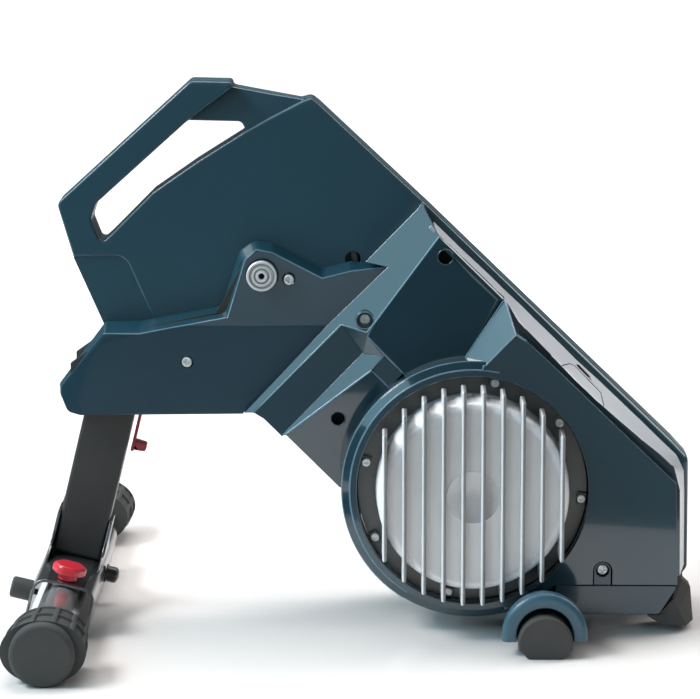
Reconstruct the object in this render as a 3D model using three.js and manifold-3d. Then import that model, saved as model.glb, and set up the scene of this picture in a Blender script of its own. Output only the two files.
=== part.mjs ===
// A direct drive bike trainer with a finned fluid brake, a belt drive, a flywheel and a folding front leg.
// Millimetres. +X runs to the rear of the bike, +Y to its drive side and +Z up.
// The drawing's own zero is on the floor under the middle of the hub, between the two dropouts.

import * as THREE from "three";
import { ConvexGeometry } from "three/addons/geometries/ConvexGeometry.js";
import { mergeVertices } from "three/addons/utils/BufferGeometryUtils.js";
import Module from "manifold-3d";

const wasm = await Module();
wasm.setup();

// Gaps, walls and cutting
const seat_gap = 0.3; // left between pieces that touch
const running_gap = 0.6; // left round pieces that turn
const swing_gap = 4; // left round the folding leg
const wall = 3; // moulded covers
const overrun = 6; // how far every cut runs past what it cuts
const edge_round = 2.5; // edges of moulded covers
const recess_depth = 9; // the bridge behind the handle
const corner_round = 7; // corners of moulded outlines
const weld = 1e-3;
const sliver = 0.02; // edges and flat bumps smaller than this are dropped
const sides = { fine: 44, smooth: 36, even: 32, plain: 24, small: 16, tiny: 12 }; // of round pieces

// Driving dimensions of the side view, and where the axes lie in it: shares along it and up
const side = { length: 625, height: 533 };
const front_share = 0.3232; // the hub's own share along
const hub_shares = [front_share, 0.64728];
const brake_shares = [0.6528, 0.26642];
const pivot_shares = [0.096, 0.46904];
const front_tube_along_share = 0.0112;
const rear_tube_along_share = 0.76112;

// The brake and the hub pulley grow with the side view, by its tighter way
const height_to_length_share = 0.8528;
const tighter = Math.min(side.height, side.length * height_to_length_share);
const brake_share = 0.21107;
const pulley_share = 0.17824;

const at_side = ([along, up]) => [(along - front_share) * side.length, up * side.height];

// Stations across the trainer, from the near side (minus) to the drive side (plus)
const across = {
  dropouts: 65,
  arm_face: -60,
  near_plate: -56,
  casing_face: -36,
  belt_middle: -22,
  casing_split: -13,
  casing_back: 10,
  far_plate: 11,
  arm_back: 20,
  cover_face: -113,
  cover_back: -88,
  strip_ridge: -84,
  strip_edge: -66,
  spur: -80,
  groove: -74,
  valley: -64,
};
const plate_thickness = 5;
const lower_wall = 4.5; // side walls of the lower rear cover
const tongue_length = 22.8; // from its screw down to inside the lower rear cover

// Share points of the side view: along from the front corner, up from the floor
const casing_outline_shares = [
  [0.071, 0.549],
  [0.025, 0.67],
  [0, 0.774],
  [0.211, 1],
  [0.275, 0.998],
  [0.277, 0.987],
  [0.384, 0.964],
  [0.4, 0.969],
  [0.412, 0.958],
  [0.583, 0.77],
  [0.975, 0.327],
  [1, 0.295],
  [1, 0.088],
  [0.97, 0.038],
  [0.851, 0.038],
  [0.8, 0.12],
  [0.695, 0.19],
  [0.625, 0.208],
  [0.242, 0.47],
  [0.2, 0.505],
  [0.175, 0.545],
];
const casing_cavity_shares = [
  [0.082, 0.56],
  [0.07, 0.672],
  [0.2, 0.812],
  [0.31, 0.9],
  [0.41, 0.945],
  [0.57, 0.768],
  [0.967, 0.321],
  [0.992, 0.288],
  [0.992, 0.094],
  [0.966, 0.046],
  [0.856, 0.046],
  [0.806, 0.128],
  [0.697, 0.197],
  [0.63, 0.214],
  [0.246, 0.478],
  [0.206, 0.51],
  [0.18, 0.556],
];
const handle_hole_shares = [
  [0.061, 0.773],
  [0.206, 0.926],
  [0.29, 0.924],
  [0.297, 0.908],
  [0.221, 0.852],
  [0.151, 0.795],
  [0.084, 0.716],
  [0.068, 0.699],
  [0.053, 0.744],
];
const bridge_recess_shares = [
  [0.2, 0.915],
  [0.277, 1.02],
  [0.42, 1.02],
  [0.384, 0.957],
  [0.3, 0.972],
  [0.296, 0.9],
];
const arm_outline_shares = [
  [0.075, 0.558],
  [0.131, 0.56],
  [0.262, 0.589],
  [0.284, 0.674],
  [0.298, 0.7],
  [0.326, 0.708],
  [0.35, 0.698],
  [0.42, 0.658],
  [0.482, 0.672],
  [0.5175, 0.667],
  [0.4304, 0.5598],
  [0.2927, 0.388],
  [0.035, 0.38],
  [0.013, 0.386],
  [0, 0.42],
  [0, 0.437],
];
const arm_trough_shares = [
  [0.004, 0.437],
  [0.075, 0.53],
  [0.17, 0.53],
  [0.238, 0.455],
  [0.29, 0.41],
  [0.3, 0.388],
  [0.035, 0.38],
  [0.013, 0.386],
  [0.004, 0.42],
];
const frame_plate_shares = [
  [0.02, 0.4],
  [0.02, 0.48],
  [0.085, 0.535],
  [0.25, 0.575],
  [0.288, 0.655],
  [0.304, 0.678],
  [0.326, 0.684],
  [0.345, 0.678],
  [0.42, 0.64],
  [0.52, 0.64],
  [0.6, 0.62],
  [0.95, 0.27],
  [0.95, 0.09],
  [0.92, 0.055],
  [0.82, 0.055],
  [0.79, 0.03],
  [0.73, 0.03],
  [0.64, 0.06],
  [0.52, 0.13],
  [0.44, 0.255],
  [0.34, 0.38],
  [0.25, 0.44],
  [0.16, 0.45],
  [0.13, 0.42],
  [0.09, 0.4],
];
const lower_cover_shares = [
  [0.812, 0.068],
  [0.829, 0.088],
  [0.974, 0.088],
  [0.946, 0.035],
  [0.838, 0.035],
];
const drive_cover_shares = [
  [0.47, 0.56],
  [0.6, 0.72],
  [0.965, 0.3],
  [0.975, 0.28],
  [0.975, 0.09],
  [0.946, 0.038],
  [0.838, 0.038],
  [0.812, 0.1],
  [0.7, 0.1],
  [0.64, 0.045],
  [0.53, 0.1],
  [0.45, 0.24],
  [0.38, 0.36],
];

// Hub, from the near end cap to the freehub
const end_cap = { radius: 15, step_radius: 11, groove_radius: 9.5, groove_depth: 1.2, bore: 2.6, flange: 4 };
const axle = { radius: 6 };
const shaft = { radius: 12.5, bore: 7 };
const hub_bearing = { outer: 20, width: 8 };
const boss_wall = 4;
const big_pulley = { radius: pulley_share * tighter, width: 17, rim: 7, web: 5, boss: 24 };
const small_pulley = { radius: 18, flange: 2, flange_height: 3 };
const belt = { thickness: 3, width: 14 };
const freehub = { radius: 17.4, start: 21, end: 55, core: 9 };
const spline = { count: 9, depth: 1.8, flank_share: 0.25 };
const idler = { radius: 13, width: 14, bolt_radius: 4, head_share: 1.8, along_share: 0.62 };

// Brake unit: its radii follow the opening's
const opening = { radius: brake_share * tighter, lip: 7.5, ring_width: 15, ring_drop: 9 };
const housing = {
  rim_gap: 19.5,
  face: -141,
  base: -97,
  rim_round: 12,
  wall: 5,
  dimple_radius: 24.6,
  dimple_depth: 7,
  mould_draft: 1.5,
};
const housing_radius = opening.radius - housing.rim_gap;
const fin = { count: 10, spacing_share: 0.1863, thickness: 3.6, proud: 9, face: -151, base: -112 };
const brake_back = { flange_gap: 0.5, flange: 4, chamber_wall: 9, step: 3, wall: 5 };
const tab = { width: 12, length: 10, height: 3, inset: 5 };
const ring_screw = { inset: 5.8, radius: 4, head: 3 };
const ring_screw_turn_shares = [-0.015, 0.105, 0.218, 0.461, 0.576, 0.715];
const impeller = { gap: 8, disc: 3, hub: 15, blades: 8, blade: 3, blade_depth: 34, blade_inner: 20 };
const impeller_radius = housing_radius - brake_back.chamber_wall - impeller.gap;
const brake_shaft = { radius: 8.5, start: -124, end: 56 };
const brake_bearing = { outer: 17.5, width: 8 };
const flywheel = { inset: 1, start: 24, width: 27, rim: 26, web: 9, boss: 18 };
const flywheel_radius = housing_radius - flywheel.inset;
const flywheel_cover = { room: 14, taper: 8, face: 60, side_depth: 38 };
const dome_radius = flywheel_radius + flywheel_cover.room;
const vent = { count: 5, width: 5, length: 46, spacing: 13 };

// Front leg, in its own frame: up the leg is +Z, its pivot is the zero
const leg = { width: 49, depth: 36, near: -27, wall: 2.5, top: 20, barrel_radius: 13 };
const pivot_pin = { radius: 6 };
const saddle = { half_width: 31.5, wall: 3, height: 20, half_length: 135, corner: 14, gusset: 46 };
const knob = {
  head_radius: 16.5,
  head: 9.5,
  bevel: 2.4,
  lobes: 6,
  lobe_share: 0.06,
  neck_radius: 9.5,
  neck: 6.5,
  station: -118,
  stud: 4,
};
const stopper = { radius: 10.5, length: 21, station: -95, rise: -2, foot_radius: 6, foot: 4 };
const cap_nut = { radius: 8, length: 12, washer_radius: 9.5, washer: 2, station: -4, rise: 8 };
const lever = {
  thickness: 3,
  width: 15,
  top: -14,
  bottom: -101,
  standoff: 4,
  tab: 12,
  tab_height: 8,
  tab_lift: 3,
};
const lever_pin = { radius: 3, down: 34, lug: 4, lug_gap: 0.5 };
const fold_stop_bar = { radius: 5 };
const fold_stop_shares = [0.196, 0.46529];

// Front tube and feet: the feet stand near the tube's ends, and their discs set its height
const end_disc = { radius: 30.5, thickness: 14, round: 7, spigot: 16 };
const front_tube = { radius: 20, half_length: 300, wall: 2.5 };
const foot = {
  half_width: 40,
  half_height: end_disc.radius,
  length: 61,
  inset: 3,
  ribs: 6,
  rib: 2.4,
  rib_height: 2.2,
  rings: 3,
};
const foot_end = front_tube.half_length - foot.inset;
const foot_start = foot_end - foot.length;

// Rear tube and feet
const rear_tube = { radius: 16, half_length: 198, height: 25, wall: 2.5 };
const shroud = { radius: 41, inner: 27, length: 88, round: 8, down: 5, skirt: 6 };
const pad = { radius: 26, drop: 11, half_flat: 16, flat_rise: 9, length: 64, proud: 12 };
const pad_face = rear_tube.half_length + pad.proud;
const wedge_side_shares = [
  [0.925, 0.034],
  [0.9465, 0.034],
  [0.975, 0.088],
  [0.985, 0.09],
  [0.998, 0.076],
  [1.003, 0.014],
  [0.996, 0.008],
  [0.952, 0.012],
];
const wedge = { width: 42, inset: 3, corner: 2 };

// Silver spine behind the near cover
const spine = { far: -40, thickness: 9, lap_share: 0.01, room_lap_share: 0.05 };
const spine_far_shares = [
  [0.583, 0.765],
  [0.7, 0.633],
  [0.787, 0.535],
  [0.974, 0.324],
  [0.997, 0.292],
  [0.997, 0.096],
];
const spine_near_shares = [
  [0.612, 0.716],
  [0.701, 0.613],
  [0.737, 0.559],
  [0.97, 0.279],
  [0.972, 0.277],
  [0.973, 0.096],
];

// Screws in the covers and holes for tools
const screw = { radius: 5, head: 3, cross: 1.5, cross_share: 0.6, cross_depth: 1.2 };
const screw_recess = { radius: 7.6, depth: 5 };
const strip_screw = { station: -76, rise: 4 };
const arm_screw_shares = [
  [0.3656, 0.63977],
  [0.2048, 0.48593],
];
const strip_screw_shares = [0.4848, 0.5713];
const lower_screw_shares = [0.8568, 0.11726];
const panel_hole = { radius: 7.2 };
const panel_hole_shares = [0.6096, 0.68856];
const casing_hole = { radius: 7.6, depth: 2 };
const casing_hole_shares = [0.4656, 0.67167];

// Spacers that tie the two frame plates
const spacer_radius = 6;
const spacer_shares = [
  [0.0272, 0.43527],
  [0.4032, 0.33396],
  [0.928, 0.11257],
];

// Trough for the folded leg: its slot starts ahead of the leg, and its rear end is open
const trough = { ahead: 24, lap: 30, end_share: 0.285 };

const paint = {
  teal: [0x1f4149, 0.32, 0.0],
  blue: [0x47697c, 0.35, 0.0],
  silver: [0xb9bec2, 0.35, 0.6],
  casting: [0xb8b8b8, 0.4, 0.9],
  steel: [0xc4c6c8, 0.25, 0.95],
  black: [0x1a1a1b, 0.4, 0.2],
  rubber: [0x3c3c3c, 0.8, 0.0],
  red: [0xc8283c, 0.5, 0.0],
  chrome: [0xb4b5b2, 0.12, 0.9],
};

// Shape helpers

// An outline with each corner rounded to a radius, or less where its sides are short.
function outline(points, radius) {
  const count = points.length;
  const side_share = 0.45;
  const least_sweep = 0.02;
  const steps = 2;
  const run = points.flatMap(([x, z], i) => {
    const corner = new THREE.Vector2(x, z);
    const before = new THREE.Vector2(...points[(i + count - 1) % count]).sub(corner);
    const after = new THREE.Vector2(...points[(i + 1) % count]).sub(corner);
    const shortest = side_share * Math.min(before.length(), after.length());
    const half = before.angleTo(after) / 2;
    const reach = Math.min(radius / Math.tan(half), shortest);
    const sweep = Math.PI - 2 * half;
    if (radius === 0 || sweep < least_sweep) return [corner];
    const arc = reach * Math.tan(half);
    before.normalize();
    after.normalize();
    const middle = before.clone().add(after).normalize().multiplyScalar(reach / Math.cos(half)).add(corner);
    const from = before.multiplyScalar(reach).add(corner).sub(middle);
    const to = after.multiplyScalar(reach).add(corner).sub(middle);
    return Array.from({ length: steps + 1 }, (_, k) => {
      const turn = (k / steps) * sweep;
      const spoke = from.clone().multiplyScalar(Math.sin(sweep - turn));
      spoke.addScaledVector(to, Math.sin(turn)).setLength(arc);
      return spoke.add(middle);
    });
  });
  return new THREE.Shape(run);
}

// Points along an arc in the side view.
const arc = (x, z, radius, from, to, steps) =>
  Array.from({ length: steps + 1 }, (_, i) => {
    const turn = from + ((to - from) * i) / steps;
    return new THREE.Vector2(x + radius * Math.cos(turn), z + radius * Math.sin(turn));
  });

// A closed geometry as a solid for joining and cutting.
function solid(geometry) {
  const bare = geometry.index ? geometry.toNonIndexed() : geometry.clone();
  bare.deleteAttribute("normal");
  bare.deleteAttribute("uv");
  const merged = mergeVertices(bare, weld);
  const corners = [];
  const index = merged.index.array;
  for (let i = 0; i < index.length; i += 3) {
    const [a, b, c] = [index[i], index[i + 1], index[i + 2]];
    if (a !== b && b !== c && c !== a) corners.push(a, b, c);
  }
  const mesh = new wasm.Mesh({
    numProp: 3,
    vertProperties: merged.attributes.position.array,
    triVerts: new Uint32Array(corners),
  });
  return new wasm.Manifold(mesh);
}

function geometryOf(body) {
  const mesh = body.asOriginal().simplify(sliver).getMesh();
  const geometry = new THREE.BufferGeometry();
  geometry.setAttribute("position", new THREE.BufferAttribute(mesh.vertProperties, 3));
  geometry.setIndex(new THREE.BufferAttribute(mesh.triVerts, 1));
  return geometry.toNonIndexed();
}

const join = (...bodies) => bodies.reduce((whole, body) => whole.add(body));
const cut = (whole, ...tools) => tools.reduce((rest, tool) => rest.subtract(tool), whole);

// A side-view shape given thickness across the trainer, from the near station to the far one.
function slab(shape, near, far, round = 0, curveSegments = 3) {
  const geometry = new THREE.ExtrudeGeometry(shape, {
    depth: far - near - 2 * round,
    curveSegments,
    bevelEnabled: round > 0,
    bevelThickness: round,
    bevelSize: round,
    bevelOffset: -round,
    bevelSegments: 1,
  });
  geometry.rotateX(Math.PI / 2);
  geometry.translate(0, far - round, 0);
  return solid(geometry);
}

// The same from share points.
const moulding = (shares, near, far, round = 0, corner = corner_round) =>
  slab(outline(shares.map(at_side), corner), near, far, round);

// A rod across the trainer.
function rod(radius, near, far, x = 0, z = 0, sides = 24) {
  const geometry = new THREE.CylinderGeometry(radius, radius, far - near, sides);
  geometry.translate(x, (near + far) / 2, z);
  return solid(geometry);
}

// A turned piece about an axis across the trainer: [radius, station] pairs that end on the axis or close.
function turned(profile, x = 0, z = 0, sides = 28) {
  const closed = profile[0][0] > 0;
  const points = closed ? [...profile, profile[0]] : profile;
  let area = 0;
  for (let i = 0; i < profile.length; i += 1) {
    const [ar, ay] = profile[i];
    const [br, by] = profile[(i + 1) % profile.length];
    area += ar * by - br * ay;
  }
  const run = points.map(([r, y]) => new THREE.Vector2(r, y));
  if (area < 0) run.reverse();
  const geometry = new THREE.LatheGeometry(run, sides);
  geometry.translate(x, 0, z);
  return solid(geometry);
}

const tube = (outer, inner, near, far, x = 0, z = 0, sides = 24) =>
  turned(
    [
      [inner, near],
      [outer, near],
      [outer, far],
      [inner, far],
    ],
    x,
    z,
    sides,
  );

// A box from its low corner to its high corner.
function block(low, high) {
  const size = low.map((value, i) => high[i] - value);
  const geometry = new THREE.BoxGeometry(...size);
  geometry.translate(...low.map((value, i) => value + size[i] / 2));
  return solid(geometry);
}

// The closed solid that wraps a set of points.
const wrapped = (points) => solid(new ConvexGeometry(points.map((p) => new THREE.Vector3(...p))));

const trainer = new THREE.Group();

function piece(name, body, finish, parent = trainer) {
  const [color, roughness, metalness] = paint[finish];
  const material = new THREE.MeshStandardMaterial({ color, roughness, metalness });
  const mesh = new THREE.Mesh(geometryOf(body), material);
  mesh.name = name;
  parent.add(mesh);
  return mesh;
}

const hub_at = at_side(hub_shares);
const brake_at = at_side(brake_shares);
const pivot_at = at_side(pivot_shares);
const front_tube_at = [at_side([front_tube_along_share, 0])[0], end_disc.radius];
const rear_at = [at_side([rear_tube_along_share, 0])[0], rear_tube.height];
const fold_stop_at = at_side(fold_stop_shares);
const near_plate_back = across.near_plate + plate_thickness;
const far_plate_back = across.far_plate + plate_thickness;

// A cross-recessed screw head that faces the near side.
function screw_head(x, z, face, size = screw) {
  const head = rod(size.radius, face, face + size.head, x, z, sides.tiny);
  const bar = size.cross / 2;
  const reach = size.radius * size.cross_share;
  const deep = face + size.cross_depth;
  const along = block([x - reach, face - overrun, z - bar], [x + reach, deep, z + bar]);
  const up = block([x - bar, face - overrun, z - reach], [x + bar, deep, z + reach]);
  return cut(head, along, up);
}

const spacers = spacer_shares.map(at_side);

const spacer_holes = () =>
  spacers.map(([x, z]) =>
    rod(spacer_radius + seat_gap, across.near_plate, across.arm_back, x, z, sides.small),
  );

// The room that the covers leave for a frame plate.
function plate_room(near, far) {
  const grown = inward(frame_plate_shares.map(at_side), -running_gap);
  return join(
    slab(outline(grown, 0), near, far),
    rod(hub_bearing.outer + boss_wall + running_gap, near, far, ...hub_at),
    rod(brake_bearing.outer + boss_wall + running_gap, near, far, ...brake_at),
  );
}

// Belt casing: two shells that hold the belt and carry the handle

function belt_casing() {
  const hole = moulding(handle_hole_shares, across.casing_face - overrun, across.casing_back + overrun);
  const cavity = (near, far) => moulding(casing_cavity_shares, near, far);
  const shaft_hole = (at, radius) =>
    rod(radius, across.casing_face - overrun, across.casing_back + overrun, ...at);
  const hub_hole = shaft_hole(hub_at, hub_bearing.outer + boss_wall + running_gap);
  const brake_hole = shaft_hole(brake_at, brake_bearing.outer + boss_wall + running_gap);
  const near_half = cut(
    moulding(casing_outline_shares, across.casing_face, across.casing_split, edge_round),
    cavity(across.casing_face + wall, across.casing_split + overrun),
    hole,
    hub_hole,
    brake_hole,
    moulding(bridge_recess_shares, across.casing_face - overrun, across.casing_face + recess_depth),
    rod(
      casing_hole.radius,
      across.casing_face - overrun,
      across.casing_face + casing_hole.depth,
      ...at_side(casing_hole_shares),
      sides.plain,
    ),
    ...spacer_holes(),
  );
  piece("belt_casing_left", near_half, "teal");
  const far_half = cut(
    moulding(casing_outline_shares, across.casing_split + seat_gap, across.casing_back, edge_round),
    cavity(across.casing_split - overrun, across.casing_back - wall),
    hole,
    hub_hole,
    brake_hole,
    ...spacer_holes(),
  );
  piece("belt_casing_right", far_half, "teal");
}

// Steel frame: two plates, the near one with the spacers that tie them

function frame_plates() {
  const tube_hole = (near, far) => rod(rear_tube.radius + seat_gap, near, far, ...rear_at);
  const pin_hole = (near, far) => rod(pivot_pin.radius + running_gap, near, far, ...pivot_at);
  const holder = (at, bearing, near, far) =>
    rod(bearing.outer + boss_wall, near, far, ...at);
  const seat = (at, bearing, near, far) => rod(bearing.outer + seat_gap, near, far, ...at);
  const near_face = across.near_plate;
  const hub_boss_end = near_plate_back + hub_bearing.width;
  const brake_boss_end = near_plate_back + brake_bearing.width;
  const past = across.far_plate - seat_gap;
  const near_plate = cut(
    join(
      moulding(frame_plate_shares, near_face, near_plate_back, 0, 0),
      holder(hub_at, hub_bearing, near_face, hub_boss_end),
      holder(brake_at, brake_bearing, near_face, brake_boss_end),
      ...spacers.map(([x, z]) => rod(spacer_radius, near_face, past, x, z, sides.small)),
    ),
    seat(hub_at, hub_bearing, near_plate_back, hub_boss_end + overrun),
    seat(brake_at, brake_bearing, near_plate_back, brake_boss_end + overrun),
    rod(end_cap.step_radius + seat_gap, near_face - overrun, near_plate_back + overrun, ...hub_at),
    rod(brake_shaft.radius + running_gap, near_face - overrun, near_plate_back + overrun, ...brake_at),
    tube_hole(near_face - overrun, near_plate_back + overrun),
    pin_hole(near_face - overrun, near_plate_back + overrun),
  );
  piece("frame_plate_left", near_plate, "steel");
  const far_start = far_plate_back - hub_bearing.width - seat_gap;
  const far_brake_start = far_plate_back - brake_bearing.width - seat_gap;
  const far_plate = cut(
    join(
      moulding(frame_plate_shares, across.far_plate, far_plate_back, 0, 0),
      holder(hub_at, hub_bearing, far_start, far_plate_back),
      holder(brake_at, brake_bearing, far_brake_start, far_plate_back),
    ),
    seat(hub_at, hub_bearing, far_start - overrun, far_plate_back + overrun),
    seat(brake_at, brake_bearing, far_brake_start - overrun, far_plate_back + overrun),
    tube_hole(across.far_plate - overrun, far_plate_back + overrun),
    pin_hole(across.far_plate - overrun, far_plate_back + overrun),
  );
  piece("frame_plate_right", far_plate, "steel");
}

// Hub: end caps and axle stand still, the pulley shaft and the freehub turn on bearings

function drive_hub() {
  const cap_inner = across.arm_face - seat_gap;
  const left_cap = turned(
    [
      [end_cap.bore, -across.dropouts],
      [end_cap.groove_radius, -across.dropouts],
      [end_cap.groove_radius, -across.dropouts + end_cap.groove_depth],
      [end_cap.step_radius, -across.dropouts + end_cap.groove_depth],
      [end_cap.step_radius, -across.dropouts],
      [end_cap.radius, -across.dropouts],
      [end_cap.radius, cap_inner],
      [end_cap.step_radius, cap_inner],
      [end_cap.step_radius, near_plate_back],
      [end_cap.bore, near_plate_back],
    ],
    ...hub_at,
    sides.plain,
  );
  piece("left_end_cap", left_cap, "chrome");
  const axle_start = near_plate_back + seat_gap;
  const axle_end = freehub.end + end_cap.flange;
  piece("hub_axle", tube(axle.radius, end_cap.bore, axle_start, axle_end, ...hub_at), "steel");
  const cap_start = axle_end + seat_gap;
  const right_cap = tube(
    end_cap.step_radius,
    end_cap.bore,
    cap_start,
    across.dropouts,
    ...hub_at,
    sides.even,
  );
  piece("right_end_cap", right_cap, "chrome");

  const near_seat = near_plate_back + seat_gap;
  const near_end = near_seat + hub_bearing.width - seat_gap;
  const inner = shaft.radius + seat_gap;
  piece("hub_bearing_left", tube(hub_bearing.outer, inner, near_seat, near_end, ...hub_at), "steel");
  const far_start = far_plate_back - hub_bearing.width;
  piece("hub_bearing_right", tube(hub_bearing.outer, inner, far_start, far_plate_back, ...hub_at), "steel");

  const half = big_pulley.width / 2;
  const half_web = big_pulley.web / 2;
  const middle = across.belt_middle;
  const rim_inner = big_pulley.radius - big_pulley.rim;
  const freehub_seat = freehub.core - running_gap;
  const pulley = turned(
    [
      [shaft.bore, near_seat],
      [shaft.radius, near_seat],
      [shaft.radius, middle - half],
      [big_pulley.boss, middle - half],
      [big_pulley.boss, middle - half_web],
      [rim_inner, middle - half_web],
      [rim_inner, middle - half],
      [big_pulley.radius, middle - half],
      [big_pulley.radius, middle + half],
      [rim_inner, middle + half],
      [rim_inner, middle + half_web],
      [big_pulley.boss, middle + half_web],
      [big_pulley.boss, middle + half],
      [shaft.radius, middle + half],
      [shaft.radius, freehub.start - running_gap],
      [freehub_seat, freehub.start - running_gap],
      [freehub_seat, freehub.end],
      [shaft.bore, freehub.end],
    ],
    ...hub_at,
    sides.even,
  );
  piece("hub_pulley", pulley, "casting");

  const body = new THREE.Shape();
  const steps = spline.count * 4;
  for (let i = 0; i < steps; i += 1) {
    const high = i % 4 < 2;
    const radius = high ? freehub.radius : freehub.radius - spline.depth;
    const turn = ((i + (i % 2 ? -1 : 1) * spline.flank_share) / steps) * 2 * Math.PI;
    const point = [hub_at[0] + radius * Math.cos(turn), hub_at[1] + radius * Math.sin(turn)];
    if (i === 0) body.moveTo(...point);
    else body.lineTo(...point);
  }
  body.closePath();
  const flange_end = freehub.start + spline.depth;
  const splined = cut(
    join(
      slab(body, freehub.start, freehub.end),
      rod(freehub.radius + spline.depth, freehub.start, flange_end, ...hub_at),
    ),
    rod(freehub.core, freehub.start - overrun, freehub.end + overrun, ...hub_at),
  );
  piece("freehub_body", splined, "steel");
}

// Belt drive

const drive_angle = Math.atan2(brake_at[1] - hub_at[1], brake_at[0] - hub_at[0]);
const drive_length = Math.hypot(brake_at[1] - hub_at[1], brake_at[0] - hub_at[0]);

// The loop of a belt round both pulleys, grown by an amount.
function belt_loop(path, grow) {
  const big = big_pulley.radius + grow;
  const small = small_pulley.radius + grow;
  const lean = Math.acos((big_pulley.radius - small_pulley.radius) / drive_length);
  path.absarc(...hub_at, big, drive_angle + lean, drive_angle - lean + 2 * Math.PI, false);
  path.absarc(...brake_at, small, drive_angle - lean, drive_angle + lean, false);
  path.closePath();
  return path;
}

function belt_drive() {
  const loop = belt_loop(new THREE.Shape(), seat_gap + belt.thickness);
  loop.holes.push(belt_loop(new THREE.Path(), seat_gap));
  const near = across.belt_middle - belt.width / 2;
  piece("drive_belt", slab(loop, near, near + belt.width, 0, sides.small), "rubber");

  const half = belt.width / 2 + seat_gap;
  const middle = across.belt_middle;
  const bore = brake_shaft.radius + seat_gap;
  const flange = small_pulley.radius + small_pulley.flange_height;
  const pulley = turned(
    [
      [bore, middle - half - small_pulley.flange],
      [flange, middle - half - small_pulley.flange],
      [flange, middle - half],
      [small_pulley.radius, middle - half],
      [small_pulley.radius, middle + half],
      [flange, middle + half],
      [flange, middle + half + small_pulley.flange],
      [bore, middle + half + small_pulley.flange],
    ],
    ...brake_at,
    sides.plain,
  );
  piece("brake_pulley", pulley, "steel");

  // The idler presses on the back of the belt's upper run.
  const lean = Math.acos((big_pulley.radius - small_pulley.radius) / drive_length);
  const turn = drive_angle + lean;
  const outward = [Math.cos(turn), Math.sin(turn)];
  const run = [0, 1].map(
    (i) =>
      hub_at[i] * (1 - idler.along_share) +
      brake_at[i] * idler.along_share +
      outward[i] * (big_pulley.radius * (1 - idler.along_share) + small_pulley.radius * idler.along_share),
  );
  const away = belt.thickness + 2 * seat_gap + idler.radius;
  const at = [run[0] + outward[0] * away, run[1] + outward[1] * away];
  const idler_half = idler.width / 2;
  const idler_bore = idler.bolt_radius + running_gap;
  const wheel = tube(
    idler.radius,
    idler_bore,
    middle - idler_half,
    middle + idler_half,
    ...at,
    sides.even,
  );
  piece("idler_pulley", wheel, "black");
  const bolt_end = across.casing_back - wall - seat_gap;
  const collar = middle + idler_half + running_gap;
  const head_radius = idler.bolt_radius * idler.head_share;
  const head_back = middle - idler_half - running_gap;
  const bolt = join(
    rod(idler.bolt_radius, head_back, bolt_end, ...at, sides.small),
    rod(head_radius, collar, bolt_end, ...at, sides.small),
  );
  const head = rod(head_radius, head_back - screw.head, head_back, ...at, sides.tiny / 2);
  piece("idler_bolt", join(bolt, head), "steel");
}

// Brake unit: finned front housing, back shell with its flange, impeller, shaft, bearings and flywheel

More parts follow.
